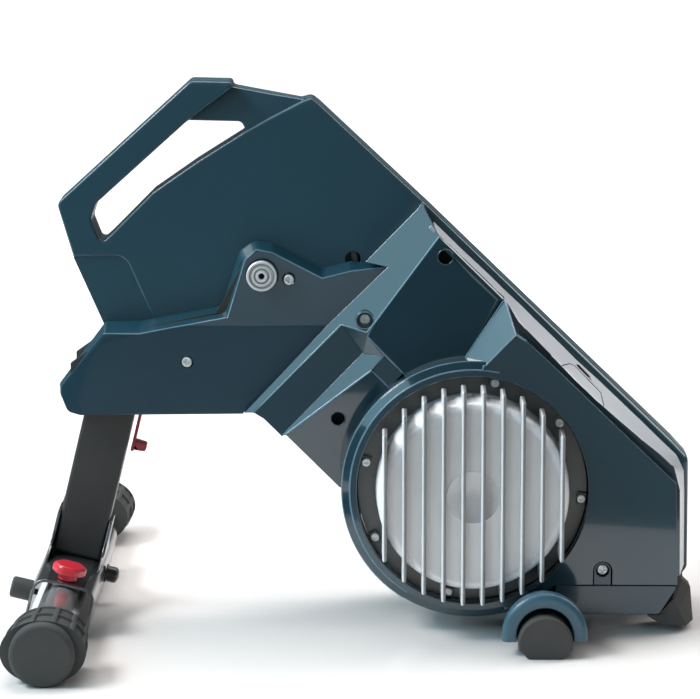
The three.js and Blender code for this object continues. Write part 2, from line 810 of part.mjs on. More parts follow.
function brake_unit() {
  const face = housing.face;
  const round = housing.rim_round;
  const rim = housing_radius;
  const corner_shares = [0, 0.45, 0.8, 1];
  const dish_shares = [0, 0.5, 1];
  const corner = corner_shares.map((share) => {
    const turn = (share * Math.PI) / 2;
    return [rim - round + round * Math.sin(turn), face + round - round * Math.cos(turn)];
  });
  const dish = dish_shares.map((share) => [
    share * housing.dimple_radius,
    face + housing.dimple_depth * (1 - share * share),
  ]);
  const inner = rim - housing.wall;
  const chamber_face = face + housing.dimple_depth + housing.wall;
  const shell = turned(
    [
      ...dish,
      ...corner,
      [rim + housing.mould_draft, housing.base - seat_gap],
      [inner, housing.base - seat_gap],
      [inner, chamber_face],
      [0, chamber_face],
    ],
    ...brake_at,
    sides.smooth,
  );
  const fin_reach = rim + fin.proud;
  const fins = [];
  for (let i = 0; i < fin.count; i += 1) {
    const offset = (i - (fin.count - 1) / 2) * fin.spacing_share * fin_reach;
    const reach = Math.sqrt(fin_reach * fin_reach - offset * offset);
    const x = brake_at[0] + offset;
    const half = fin.thickness / 2;
    const z = brake_at[1];
    fins.push(block([x - half, fin.face, z - reach], [x + half, fin.base, z + reach]));
  }
  const room = turned(
    [
      [0, chamber_face],
      [inner, chamber_face],
      [inner, housing.base + overrun],
      [0, housing.base + overrun],
    ],
    ...brake_at,
    sides.smooth,
  );
  const foot_room = rod(
    shroud.radius + swing_gap / 2,
    -pad_face,
    housing.base,
    rear_at[0],
    rear_at[1] - shroud.down,
  );
  piece("brake_housing", cut(join(shell, ...fins), room, foot_room), "casting");

  const back = brake_back;
  const flange_radius = opening.radius - back.flange_gap;
  const chamber = housing_radius - back.chamber_wall;
  const back_radius = housing_radius - back.step;
  const flange_back = housing.base + back.flange;
  const floor = across.near_plate - seat_gap;
  const shaft_bore = brake_shaft.radius + running_gap;
  let ring = turned(
    [
      [chamber, housing.base],
      [flange_radius, housing.base],
      [flange_radius, flange_back],
      [back_radius, flange_back],
      [back_radius, floor],
      [shaft_bore, floor],
      [shaft_bore, floor - back.wall],
      [chamber, floor - back.wall],
    ],
    ...brake_at,
    sides.smooth,
  );
  const tab_start = opening.radius - tab.inset - tab.length / 2;
  const tab_end = flange_radius - seat_gap;
  ring_screw_turn_shares.forEach((share, i) => {
    const turn = share * 2 * Math.PI;
    const radius = opening.radius - ring_screw.inset;
    const x = brake_at[0] + radius * Math.cos(turn);
    const z = brake_at[1] + radius * Math.sin(turn);
    const pad_geometry = new THREE.BoxGeometry(tab_end - tab_start, tab.height, tab.width);
    pad_geometry.translate((tab_start + tab_end) / 2, housing.base - tab.height / 2, 0);
    pad_geometry.rotateY(-turn);
    pad_geometry.translate(brake_at[0], 0, brake_at[1]);
    ring = ring.add(solid(pad_geometry));
    const face_of_screw = housing.base - tab.height - seat_gap - ring_screw.head;
    const size = { ...screw, radius: ring_screw.radius, head: ring_screw.head };
    piece(`ring_screw_${i + 1}`, screw_head(x, z, face_of_screw, size), "steel");
  });
  piece("brake_back_shell", ring, "casting");

  const bore = brake_shaft.radius + seat_gap;
  const blades = [];
  for (let i = 0; i < impeller.blades; i += 1) {
    const blade = new THREE.BoxGeometry(
      impeller_radius - impeller.blade_inner,
      impeller.blade_depth,
      impeller.blade,
    );
    blade.translate((impeller_radius + impeller.blade_inner) / 2, 0, 0);
    blade.rotateY((i / impeller.blades) * 2 * Math.PI);
    blade.translate(brake_at[0], housing.base, brake_at[1]);
    blades.push(solid(blade));
  }
  const half_depth = impeller.blade_depth / 2;
  const half_disc = impeller.disc / 2;
  const middle_plane = housing.base;
  const wheel = join(
    tube(impeller_radius, bore, middle_plane - half_disc, middle_plane + half_disc, ...brake_at, sides.even),
    tube(impeller.hub, bore, middle_plane - half_depth, middle_plane + half_depth, ...brake_at, sides.small),
    ...blades,
  );
  const hole = rod(bore, middle_plane - impeller_radius, middle_plane + impeller_radius, ...brake_at);
  piece("impeller", cut(wheel, hole), "casting");
  piece("brake_shaft", rod(brake_shaft.radius, brake_shaft.start, brake_shaft.end, ...brake_at), "steel");
  const near_seat = near_plate_back + seat_gap;
  const near_end = near_plate_back + brake_bearing.width;
  piece("brake_bearing_left", tube(brake_bearing.outer, bore, near_seat, near_end, ...brake_at), "steel");
  const far_start = far_plate_back - brake_bearing.width;
  const far_ring = tube(brake_bearing.outer, bore, far_start, far_plate_back, ...brake_at);
  piece("brake_bearing_right", far_ring, "steel");

  const start = flywheel.start;
  const end = start + flywheel.width;
  const middle = (start + end) / 2;
  const half_web = flywheel.web / 2;
  const rim_inner = flywheel_radius - flywheel.rim;
  const disc = turned(
    [
      [bore, start],
      [flywheel.boss, start],
      [flywheel.boss, middle - half_web],
      [rim_inner, middle - half_web],
      [rim_inner, start],
      [flywheel_radius, start],
      [flywheel_radius, end],
      [rim_inner, end],
      [rim_inner, middle + half_web],
      [flywheel.boss, middle + half_web],
      [flywheel.boss, end],
      [bore, end],
    ],
    ...brake_at,
    sides.even,
  );
  piece("flywheel", disc, "steel");
}

// Drive side cover with its flywheel dome and vents

function drive_side_cover() {
  const near = far_plate_back + seat_gap;
  const side_face = flywheel_cover.side_depth;
  const dome = (start, less) =>
    turned(
      [
        [0, start],
        [dome_radius - less, start],
        [dome_radius - less, side_face],
        [dome_radius - flywheel_cover.taper - less, flywheel_cover.face - less],
        [0, flywheel_cover.face - less],
      ],
      ...brake_at,
      sides.fine,
    );
  const outer = join(moulding(drive_cover_shares, near, side_face, edge_round), dome(near, 0));
  const inner_outline = outline(inward(drive_cover_shares.map(at_side), wall), corner_round);
  const inner = join(
    slab(inner_outline, near - overrun, side_face - wall),
    dome(near - overrun, wall),
  );
  const slots = [];
  for (let i = 0; i < vent.count; i += 1) {
    const x = brake_at[0] + (i - (vent.count - 1) / 2) * vent.spacing;
    const low = [x - vent.width / 2, flywheel_cover.face - 2 * wall, brake_at[1] - vent.length / 2];
    const high = [x + vent.width / 2, flywheel_cover.face + overrun, brake_at[1] + vent.length / 2];
    slots.push(block(low, high));
  }
  piece("flywheel_cover", cut(outer, inner, ...slots), "teal");
}

// Front arm: the near cover with its dome round the axle, and the trough the leg folds into

function arm_covers() {
  const back = across.casing_face - seat_gap;
  const shell = moulding(arm_outline_shares, across.arm_face, back, edge_round);
  const outer = arm_outline_shares.map(at_side);
  const inner = inward(outer, wall);
  const cavity = slab(outline(inner, wall), across.arm_face + wall, back + overrun);
  const cap_hole = rod(end_cap.radius + 2 * seat_gap, across.arm_face - overrun, back, ...hub_at);
  const screws = arm_screw_shares.map(at_side);
  const seat_depth = across.arm_face + wall - seat_gap;
  const seats = screws.map((at) =>
    rod(screw.radius + seat_gap, across.arm_face - overrun, seat_depth, ...at, sides.small),
  );
  const pads = screws.map((at) =>
    rod(screw.radius + wall, across.arm_face + wall / 2, across.near_plate - seat_gap, ...at, sides.small),
  );
  const room = plate_room(across.near_plate - seat_gap, back + overrun);
  const near_cover = cut(join(cut(shell, cavity), ...pads), cap_hole, ...seats, room);
  piece("arm_cover_left", near_cover, "teal");
  screws.forEach((at, i) => {
    const head = screw_head(...at, seat_depth - seat_gap - screw.head);
    piece(["hub_cover_screw", "arm_cover_screw"][i], head, "steel");
  });

  const start = across.casing_face;
  const shell_of_trough = moulding(arm_trough_shares, start, across.arm_back);
  const hollow_near = start - overrun;
  const hollow_outline = outline(inward(arm_trough_shares.map(at_side), wall), wall);
  const hollow = slab(hollow_outline, hollow_near, across.arm_back - wall);
  const leg_far = leg.near + leg.depth + swing_gap / 2;
  const slot_end = at_side([trough.end_share, 0])[0];
  const leg_slot = block(
    [pivot_at[0] - leg.width / 2 - trough.ahead, hollow_near, 0],
    [slot_end, leg_far, pivot_at[1] - leg.width / 2],
  );
  const open_end = block([slot_end - trough.lap, hollow_near, 0], [side.length, leg_far, pivot_at[1]]);
  const far_room = plate_room(across.far_plate - seat_gap, far_plate_back + seat_gap);
  const bar_room = rod(fold_stop_bar.radius + running_gap, hollow_near, across.far_plate, ...fold_stop_at);
  const rooms = [hollow, leg_slot, open_end, far_room, bar_room];
  piece("arm_cover_right", cut(shell_of_trough, ...rooms), "teal");
}

// Moves each corner of an outline inwards by an amount, along its own bisector.
function inward(points, amount) {
  const count = points.length;
  let area = 0;
  points.forEach(([x, z], i) => {
    const [nx, nz] = points[(i + 1) % count];
    area += x * nz - nx * z;
  });
  const hand = Math.sign(area);
  return points.map(([x, z], i) => {
    const [px, pz] = points[(i + count - 1) % count];
    const [nx, nz] = points[(i + 1) % count];
    const before = Math.hypot(x - px, z - pz);
    const after = Math.hypot(nx - x, nz - z);
    const a = [(-hand * (z - pz)) / before, (hand * (x - px)) / before];
    const b = [(-hand * (nz - z)) / after, (hand * (nx - x)) / after];
    const spread = 1 + a[0] * b[0] + a[1] * b[1];
    const scale = amount / Math.max(spread, 0.25);
    return [x + (a[0] + b[0]) * scale, z + (a[1] + b[1]) * scale];
  });
}

// Near cover: the strip, the hollow panel, the ribs and the ring round the brake

// A solid whose front is a set of flat facets between named points, and whose back is one flat station.
function relief(points, facets, back, deeper = 0) {
  const names = Object.keys(points);
  const place = (name, station) => {
    const [along, up, level] = points[name];
    const [x, z] = at_side([along, up]);
    return [x, station ?? across[level] + deeper, z];
  };
  const spot = Object.fromEntries(names.map((name, i) => [name, i]));
  const corners = [];
  const edges = new Map();
  facets.forEach((facet) => {
    for (let i = 1; i + 1 < facet.length; i += 1) {
      const [a, c, b] = [facet[0], facet[i], facet[i + 1]].map((name) => spot[name]);
      corners.push(a, b, c);
      corners.push(names.length + a, names.length + c, names.length + b);
      [
        [a, b],
        [b, c],
        [c, a],
      ].forEach(([from, to]) => edges.set(`${from} ${to}`, [from, to]));
    }
  });
  edges.forEach(([from, to]) => {
    if (edges.has(`${to} ${from}`)) return;
    corners.push(to, from, names.length + from);
    corners.push(to, names.length + from, names.length + to);
  });
  const geometry = new THREE.BufferGeometry();
  const places = [...names.map((name) => place(name)), ...names.map((name) => place(name, back))];
  geometry.setAttribute("position", new THREE.Float32BufferAttribute(places.flat(), 3));
  geometry.setIndex(corners);
  return solid(geometry);
}

// Share points of the near cover's facets, each with the station it lies at. Facets run clockwise as seen.
const cover_share_points = {
  strip_top: [0.565, 0.771, "strip_edge"],
  strip_tip: [0.573, 0.783, "strip_edge"],
  ridge_top: [0.6, 0.725, "spur"],
  rim: [0.702, 0.612, "strip_ridge"],
  slope_top: [0.725, 0.57, "cover_face"],
  rear_a: [0.735, 0.559, "cover_face"],
  rear_b: [0.789, 0.498, "cover_face"],
  rear_c: [0.859, 0.424, "cover_face"],
  rear_d: [0.972, 0.278, "cover_face"],
  rear_foot: [0.974, 0.09, "cover_face"],
  seam_end: [0.829, 0.09, "cover_face"],
  seam_start: [0.812, 0.068, "cover_face"],
  low_right: [0.76, 0.06, "cover_face"],
  brake_middle: [0.653, 0.267, "cover_face"],
  low_left: [0.445, 0.254, "strip_ridge"],
  spur_foot: [0.36, 0.357, "spur"],
  groove_foot: [0.354, 0.353, "valley"],
  foot_corner: [0.326, 0.386, "groove"],
  rib_foot: [0.311, 0.397, "strip_ridge"],
  strip_foot: [0.3008, 0.3914, "strip_edge"],
  strip_left: [0.429, 0.5516, "strip_edge"],
  strip_notch: [0.52, 0.667, "strip_edge"],
  strip_shoulder: [0.485, 0.674, "strip_edge"],
  ridge_low: [0.5, 0.567, "strip_ridge"],
  facet_top: [0.488, 0.55, "strip_ridge"],
  panel_corner: [0.489, 0.543, "strip_ridge"],
  panel_ring: [0.545, 0.475, "strip_ridge"],
  rib_top: [0.448, 0.562, "strip_ridge"],
  groove_top: [0.482, 0.509, "valley"],
  spur_top: [0.514, 0.505, "spur"],
  spur_mid: [0.495, 0.479, "strip_ridge"],
  spur_ring: [0.5225, 0.448, "spur"],
  under_slope: [0.62, 0.46, "strip_ridge"],
  under_level: [0.65, 0.46, "cover_face"],
  under_panel: [0.56, 0.4, "strip_ridge"],
  under_spur: [0.53, 0.36, "spur"],
  under_left: [0.5, 0.26, "strip_ridge"],
};
const cover_facets = [
  ["strip_top", "strip_tip", "ridge_top", "ridge_low", "strip_notch"],
  ["strip_top", "strip_notch", "strip_shoulder"],
  ["strip_notch", "ridge_low", "facet_top", "rib_top", "strip_left"],
  ["strip_left", "rib_top", "rib_foot", "strip_foot"],
  ["rib_top", "facet_top", "groove_top"],
  ["groove_top", "facet_top", "panel_corner", "spur_top"],
  ["facet_top", "ridge_low", "panel_corner"],
  ["rib_top", "groove_top", "groove_foot", "foot_corner", "rib_foot"],
  ["groove_top", "spur_top", "spur_mid", "spur_foot", "groove_foot"],
  ["panel_corner", "panel_ring", "spur_top"],
  ["spur_top", "panel_ring", "spur_ring", "spur_mid"],
  ["spur_mid", "spur_ring", "under_spur", "under_left", "low_left", "spur_foot"],
  ["panel_ring", "under_panel", "under_spur", "spur_ring"],
  ["panel_ring", "panel_corner", "ridge_low", "ridge_top", "rim", "under_slope", "under_panel"],
  ["rim", "slope_top", "under_level", "under_slope"],
  [
    "brake_middle",
    "under_level",
    "slope_top",
    "rear_a",
    "rear_b",
    "rear_c",
    "rear_d",
    "rear_foot",
    "seam_end",
    "seam_start",
    "low_right",
  ],
  ["brake_middle", "low_left", "under_left", "under_spur", "under_panel", "under_slope", "under_level"],
];
const cover_room_shares = [
  [0.566, 0.763],
  [0.572, 0.77],
  [0.596, 0.722],
  [0.697, 0.609],
  [0.719, 0.567],
  [0.731, 0.553],
  [0.966, 0.276],
  [0.968, 0.096],
  [0.826, 0.096],
  [0.808, 0.076],
  [0.757, 0.067],
  [0.653, 0.267],
  [0.449, 0.26],
  [0.356, 0.361],
  [0.327, 0.393],
  [0.309, 0.3995],
  [0.433, 0.548],
  [0.524, 0.664],
  [0.492, 0.674],
];
const open_rear_shares = [
  [0.6, 0.8],
  [1.1, 0.4],
  [1.1, 0.1],
  [0.9, 0.1],
  [0.85, 0.3],
  [0.72, 0.5],
  [0.62, 0.62],
];

function main_cover() {
  const level = across.cover_face;
  const back = across.casing_face - seat_gap;
  const front = relief(cover_share_points, cover_facets, back);
  const room_inside = relief(cover_share_points, cover_facets, 0, wall).intersect(
    moulding(cover_room_shares, -side.length, 0, 0, 0),
  );
  const ring_flat = opening.radius + opening.lip;
  const ring_outer = opening.radius + opening.ring_width;
  const ring_disc = rod(ring_outer - wall / 2, -side.length, 0, ...brake_at, sides.fine);
  const open_rear = moulding(open_rear_shares, across.cover_back, 0, 0, 0);
  const ring = turned(
    [
      [opening.radius, level],
      [ring_flat, level],
      [ring_outer, level + opening.ring_drop],
      [ring_outer, across.near_plate - seat_gap],
      [ring_outer - wall, across.near_plate - seat_gap],
      [ring_outer - wall, housing.base + brake_back.flange + seat_gap],
      [opening.radius, housing.base + brake_back.flange + seat_gap],
    ],
    ...brake_at,
    sides.fine,
  );
  const hole = rod(opening.radius + running_gap / 4, level - overrun, 0, ...brake_at, sides.fine);
  const arch_height = rear_at[1] - shroud.down;
  const rear_arch = rod(shroud.radius + swing_gap / 2, -side.length, 0, rear_at[0], arch_height, sides.even);
  const notch_radius = screw_recess.radius + wall / 2;
  const [notch_x, notch_z] = at_side(lower_screw_shares);
  const notch = rod(notch_radius, level - overrun, 0, notch_x, notch_z, sides.plain);
  const notch_foot = block(
    [notch_x - notch_radius, level - overrun, 0],
    [notch_x + notch_radius, 0, notch_z],
  );
  const screw_at = at_side(strip_screw_shares);
  const seat = strip_screw.station + screw.head + seat_gap;
  const dark_hole = rod(panel_hole.radius, level, 0, ...at_side(panel_hole_shares), sides.plain);
  const cup_top = strip_screw.station - strip_screw.rise;
  const cup_end = across.near_plate - seat_gap;
  const cup = rod(screw_recess.radius + wall / 2, cup_top, cup_end, ...screw_at, sides.plain);
  const shell = cut(front, room_inside, ring_disc, open_rear);
  const cover = cut(
    join(shell, ring, cup),
    rod(screw_recess.radius, level, seat, ...screw_at, sides.plain),
    rod(screw.radius / 2, level, 0, ...screw_at, sides.tiny),
    hole,
    rear_arch,
    notch,
    notch_foot,
    dark_hole,
    plate_room(across.near_plate - seat_gap, 0),
    ...spine_segments(running_gap, spine.room_lap_share),
  );
  piece("main_cover_left", cover, "teal");
  piece("strip_screw", screw_head(...screw_at, strip_screw.station), "steel");
}

// Lower rear cover with its screw tongue

function lower_rear_cover() {
  const level = across.cover_face;
  const body = moulding(lower_cover_shares, level, across.casing_face - seat_gap, edge_round, wall);
  const inner_outline = outline(inward(lower_cover_shares.map(at_side), lower_wall), wall);
  const inner = slab(inner_outline, level + wall, 0);
  const [x, z] = at_side(lower_screw_shares);
  const half = screw_recess.radius + wall / 2 - seat_gap;
  const tongue_round = rod(half, level + wall, across.cover_back, x, z);
  const tongue_foot = block(
    [x - half, level + wall, z - tongue_length],
    [x + half, across.cover_back, z],
  );
  const seat = level + wall + screw_recess.depth;
  const recess = rod(screw_recess.radius - wall / 2, level - overrun, seat, x, z);
  const hollow = slab(inner_outline, across.cover_back, 0);
  const arch_height = rear_at[1] - shroud.down;
  const rear_arch = rod(shroud.radius + swing_gap / 2, -side.length, 0, rear_at[0], arch_height, sides.fine);
  const room = plate_room(across.near_plate - seat_gap, 0);
  const tongue = cut(join(tongue_round, tongue_foot), recess);
  const cover = cut(join(cut(body, inner), tongue), hollow, rear_arch, room);
  piece("lower_rear_cover", cover, "teal");
  piece("lower_cover_screw", screw_head(x, z, seat - seat_gap - screw.head), "steel");
}

// Silver spine between the near cover and the casing, with its port panel

function spine_segments(grow, lap) {
  const far = spine_far_shares.map(at_side);
  const near = spine_near_shares.map(at_side);
  const segments = [];
  for (let i = 0; i + 1 < far.length; i += 1) {
    const along = [far[i + 1][0] - far[i][0], far[i + 1][1] - far[i][1]];
    const length = Math.hypot(...along);
    const out = [-along[1] / length, along[0] / length];
    const corners = [-lap, 1 + lap].flatMap((share) =>
      [
        [far, spine.far + grow],
        [near, across.cover_back + seat_gap - grow],
      ].flatMap(([line, y]) =>
        [grow, -spine.thickness - grow].map((step) => [
          line[i][0] + (line[i + 1][0] - line[i][0]) * share + out[0] * step,
          y,
          line[i][1] + (line[i + 1][1] - line[i][1]) * share + out[1] * step,
        ]),
      ),
    );
    segments.push(wrapped(corners));
  }
  return segments;
}

function rear_spine() {
  piece("rear_spine", join(...spine_segments(0, spine.lap_share)), "silver");
}

// Front leg, drawn upright about its pivot and then leaned forwards

const leg_length = Math.hypot(pivot_at[0] - front_tube_at[0], pivot_at[1] - front_tube_at[1]);
const leg_lean = Math.atan2(pivot_at[0] - front_tube_at[0], pivot_at[1] - front_tube_at[1]);

const leg_group = new THREE.Group();
leg_group.position.set(pivot_at[0], 0, pivot_at[1]);
leg_group.rotation.y = leg_lean;
trainer.add(leg_group);

function front_leg() {
  const near = leg.near;
  const far = leg.near + leg.depth;
  const half = leg.width / 2;
  const leg_foot = -leg_length + front_tube.radius + saddle.wall + 2 * seat_gap;
  const barrel_near = near_plate_back + running_gap;
  const barrel_far = across.far_plate - running_gap;
  const body = join(
    block([-half, near, leg_foot], [half, far, leg.top - half]),
    rod(half, near, far, 0, leg.top - half),
    rod(leg.barrel_radius, barrel_near, barrel_far, 0, 0),
  );
  const lugs = [-1, 1].map((hand) => {
    const middle = (near + far) / 2;
    const inner = middle + hand * (lever.width / 2 + lever_pin.lug_gap);
    const outer = inner + hand * lever_pin.lug;
    const reach = half + lever.standoff + lever.thickness + lever_pin.radius;
    return block(
      [half - wall, Math.min(inner, outer), -lever_pin.down - 2 * lever_pin.radius],
      [reach, Math.max(inner, outer), -lever_pin.down + 2 * lever_pin.radius],
    );
  });
  const pin_x = half + lever.standoff + lever.thickness / 2;
  const hollow = block(
    [-half + leg.wall, near + leg.wall, leg_foot - overrun],
    [half - leg.wall, far - leg.wall, -leg.barrel_radius - wall],
  );
  const tube_body = cut(
    join(cut(body, hollow), ...lugs),
    rod(pivot_pin.radius + running_gap, barrel_near - overrun, barrel_far + overrun, 0, 0),
    rod(lever_pin.radius + seat_gap, near, far, pin_x, -lever_pin.down, sides.small),
  );
  piece("leg_tube", tube_body, "black", leg_group);
  const pin_reach = lever.width / 2 + lever_pin.lug_gap + lever_pin.lug;
  const pin_middle = (near + far) / 2;
  const pin_ends = [pin_middle - pin_reach, pin_middle + pin_reach];
  const pin = rod(lever_pin.radius, ...pin_ends, pin_x, -lever_pin.down, sides.small);
  piece("lever_pin", pin, "steel", leg_group);

  // Lever: a flat strip along the rear of the leg, turned on its pin, with a finger tab
  const strip_near = pin_middle - lever.width / 2;
  const strip_far = pin_middle + lever.width / 2;
  const x0 = half + lever.standoff;
  const x1 = x0 + lever.thickness;
  const knuckle_radius = lever_pin.radius + lever.thickness / 2 + running_gap;
  const knuckle = rod(knuckle_radius, strip_near, strip_far, pin_x, -lever_pin.down);
  const bar = block([x0, strip_near, lever.bottom], [x1, strip_far, lever.top]);
  const tab_low = lever.bottom + lever.tab_lift;
  const finger = block(
    [x1 - seat_gap, strip_near, tab_low],
    [x1 + lever.tab, strip_far, tab_low + lever.tab_height],
  );
  const hook = block(
    [x0 - seat_gap, strip_near, lever.top - lever.thickness],
    [x1 + lever.thickness, strip_far, lever.top],
  );
  const pin_room = rod(
    lever_pin.radius + running_gap / 2,
    strip_near - overrun,
    strip_far + overrun,
    pin_x,
    -lever_pin.down,
  );
  piece("release_lever", cut(join(bar, finger, hook, knuckle), pin_room), "red", leg_group);

  front_bar(leg_foot);
}

function front_bar(leg_foot) {
  const z = -leg_length;
  const top = front_tube.radius + seat_gap + saddle.wall;
  const half = saddle.half_width;
  const channel = new THREE.Shape();
  const corner = saddle.corner;
  channel.moveTo(-half, -saddle.height);
  channel.lineTo(-half, top - corner);
  channel.quadraticCurveTo(-half, top, -half + corner, top);
  channel.lineTo(half - corner, top);
  channel.quadraticCurveTo(half, top, half, top - corner);
  channel.lineTo(half, -saddle.height);
  channel.lineTo(half - saddle.wall, -saddle.height);
  channel.lineTo(half - saddle.wall, top - corner);
  channel.quadraticCurveTo(half - saddle.wall, top - saddle.wall, half - corner, top - saddle.wall);
  channel.lineTo(-half + corner, top - saddle.wall);
  channel.quadraticCurveTo(-half + saddle.wall, top - saddle.wall, -half + saddle.wall, top - corner);
  channel.lineTo(-half + saddle.wall, -saddle.height);
  channel.closePath();
  let bracket = slab(channel, -saddle.half_length, saddle.half_length, 0, 6).translate([0, 0, z]);
  const leg_half = leg.width / 2;
  const near = leg.near;
  const far = leg.near + leg.depth;
  const plate_foot = leg_foot - seat_gap - saddle.wall;
  [-1, 1].forEach((hand) => {
    const x = hand * (leg_half + seat_gap);
    const out = hand * (leg_half + seat_gap + saddle.wall);
    bracket = bracket.add(
      wrapped([
        [x, near, plate_foot + saddle.gusset],
        [x, far, plate_foot + saddle.gusset],
        [out, near, plate_foot + saddle.gusset],
        [out, far, plate_foot + saddle.gusset],
        [x, near - saddle.gusset, plate_foot],
        [x, far + saddle.gusset, plate_foot],
        [out, near - saddle.gusset, plate_foot],
        [out, far + saddle.gusset, plate_foot],
      ]),
    );
  });
  const stud_hole = rod_up(knob.stud + running_gap, z, z + 2 * top, 0, knob.station);
  const bolt_radius = stopper.foot_radius / 2;
  const stop_at = [stopper.station, z + stopper.rise];
  const nut_at = [cap_nut.station, z + cap_nut.rise];
  const stop_hole = rod_along(bolt_radius + seat_gap, -2 * half, 0, ...stop_at);
  const bolt_hole = rod_along(bolt_radius + seat_gap, 0, 2 * half, ...nut_at);
  piece("leg_saddle", cut(bracket, stud_hole, stop_hole, bolt_hole), "black", leg_group);

  const bore = front_tube.radius - front_tube.wall;
  const ends = [-front_tube.half_length, front_tube.half_length];
  const bar = cut(
    tube(front_tube.radius, bore, ...ends, 0, 0, sides.fine),
    rod_up(knob.stud + running_gap, 0, 2 * front_tube.radius, 0, knob.station),
  ).translate([0, 0, z]);
  piece("front_cross_tube", bar, "chrome", leg_group);

  // Knob: a lobed head on a neck, with the stud that grips the cross tube
  const head = new THREE.Shape();
  const steps = knob.lobes * 6;
  for (let i = 0; i <= steps; i += 1) {
    const turn = (i / steps) * 2 * Math.PI;
    const radius = knob.head_radius * (1 - knob.lobe_share * (0.5 - 0.5 * Math.cos(knob.lobes * turn)));
    const point = [radius * Math.cos(turn), radius * Math.sin(turn)];
    if (i === 0) head.moveTo(...point);
    else head.lineTo(...point);
  }
  head.closePath();
  const neck_foot = top + seat_gap;
  const neck_top = neck_foot + knob.neck;
  const bevel = knob.bevel;
  const head_geometry = new THREE.ExtrudeGeometry(head, {
    depth: knob.head - 2 * bevel,
    bevelEnabled: true,
    bevelThickness: bevel,
    bevelSize: bevel,
    bevelOffset: -bevel,
    bevelSegments: 1,
  });
  head_geometry.translate(0, 0, neck_top + bevel - seat_gap);
  const stud_foot = front_tube.radius - front_tube.wall - 2 * knob.stud;
  const grip = join(
    solid(head_geometry),
    rod_up(knob.neck_radius, neck_foot, neck_top, 0, 0),
    rod_up(knob.stud, stud_foot, neck_top, 0, 0),
  ).translate([0, knob.station, z]);
  piece("locking_knob", grip, "red", leg_group);

  const stop_x = -half - seat_gap;
  const stop = join(
    rod_along(stopper.radius, stop_x - stopper.length, stop_x, ...stop_at),
    rod_along(bolt_radius, stop_x - stopper.foot, -half + saddle.wall + stopper.foot / 2, ...stop_at),
  );
  piece("rubber_stop", stop, "rubber", leg_group);
  const nut_x = half + seat_gap;
  const washer_back = nut_x + cap_nut.washer;
  const nut = join(
    rod_along(cap_nut.washer_radius, nut_x, washer_back, ...nut_at),
    rod_along(cap_nut.radius, nut_x, washer_back + cap_nut.length, ...nut_at),
    rod_along(bolt_radius, half - saddle.wall - stopper.foot / 2, washer_back, ...nut_at),
  );
  piece("saddle_cap_nut", nut, "black", leg_group);
  front_feet();
}

// A rod that stands up, and a rod along the bike.
function rod_up(radius, low, high, x, y, sides = 24) {
  const geometry = new THREE.CylinderGeometry(radius, radius, high - low, sides);
  geometry.rotateX(Math.PI / 2);
  geometry.translate(x, y, (low + high) / 2);
  return solid(geometry);
}

function rod_along(radius, low, high, y, z, sides = 24) {
  const geometry = new THREE.CylinderGeometry(radius, radius, high - low, sides);
  geometry.rotateZ(Math.PI / 2);
  geometry.translate((low + high) / 2, y, z);
  return solid(geometry);
}

function front_feet() {
  const level_group = new THREE.Group();
  level_group.position.set(0, 0, -leg_length);
  level_group.rotation.y = -leg_lean;
  leg_group.add(level_group);
  const bore = front_tube.radius + running_gap;
  const oval = (width, height, near, far) => {
    const geometry = new THREE.CylinderGeometry(1, 1, far - near, sides.plain);
    geometry.scale(width, 1, height);
    geometry.translate(0, (near + far) / 2, 0);
    return solid(geometry);
  };
  [-1, 1].forEach((hand) => {
    const [near, far] = [hand * foot_start, hand * foot_end].sort((a, b) => a - b);
    const low_width = foot.half_width - foot.rib_height;
    const low_height = foot.half_height - foot.rib_height;
    let body = oval(low_width, low_height, near, far);
    const pitch = (far - near - foot.rib) / (foot.rings - 1);
    for (let i = 0; i < foot.rings; i += 1) {
      const start = near + i * pitch;
      body = body.add(oval(foot.half_width, foot.half_height, start, start + foot.rib));
    }
    for (let i = 0; i < foot.ribs; i += 1) {
      const turn = ((i + 0.5) / foot.ribs) * 2 * Math.PI;
      const x = foot.half_width * Math.cos(turn);
      const z = foot.half_height * Math.sin(turn);
      const inner_share = 1 - (2 * foot.rib_height) / foot.half_height;
      const half = foot.rib / 2;
      const side_x = (-Math.sin(turn)) * half;
      const side_z = Math.cos(turn) * half;
      const tip_share = 0.995;
      body = body.add(
        wrapped(
          [near, far].flatMap((y) => [
            [x * tip_share + side_x, y, z * tip_share + side_z],
            [x * tip_share - side_x, y, z * tip_share - side_z],
            [x * inner_share + side_x, y, z * inner_share + side_z],
            [x * inner_share - side_x, y, z * inner_share - side_z],
          ]),
        ),
      );
    }
    const bored = cut(body, rod(bore, near - overrun, far + overrun, 0, 0, sides.fine));
    const label = hand < 0 ? "left" : "right";
    piece(`front_foot_${label}`, bored, "rubber", level_group);

    const inner_face = foot_end + seat_gap;
    const outer_face = inner_face + end_disc.thickness;
    const round = end_disc.round;
    const rim_shares = [0, 0.4, 0.75, 1];
    const curve = rim_shares.map((share) => {
      const turn = (share * Math.PI) / 2;
      const radius = end_disc.radius - round + round * Math.cos(turn);
      return [radius, hand * (outer_face - round + round * Math.sin(turn))];
    });
    const spigot = front_tube.radius - front_tube.wall - seat_gap;
    const tube_end = front_tube.half_length + seat_gap;
    const profile = [
      [0, hand * (tube_end - end_disc.spigot)],
      [spigot, hand * (tube_end - end_disc.spigot)],
      [spigot, hand * tube_end],
      [front_tube.radius + running_gap, hand * tube_end],
      [front_tube.radius + running_gap, hand * inner_face],
      [end_disc.radius, hand * inner_face],
      ...curve,
      [0, hand * outer_face],
    ];
    piece(`front_end_disc_${label}`, turned(profile, 0, 0, sides.plain), "rubber", level_group);
  });
}

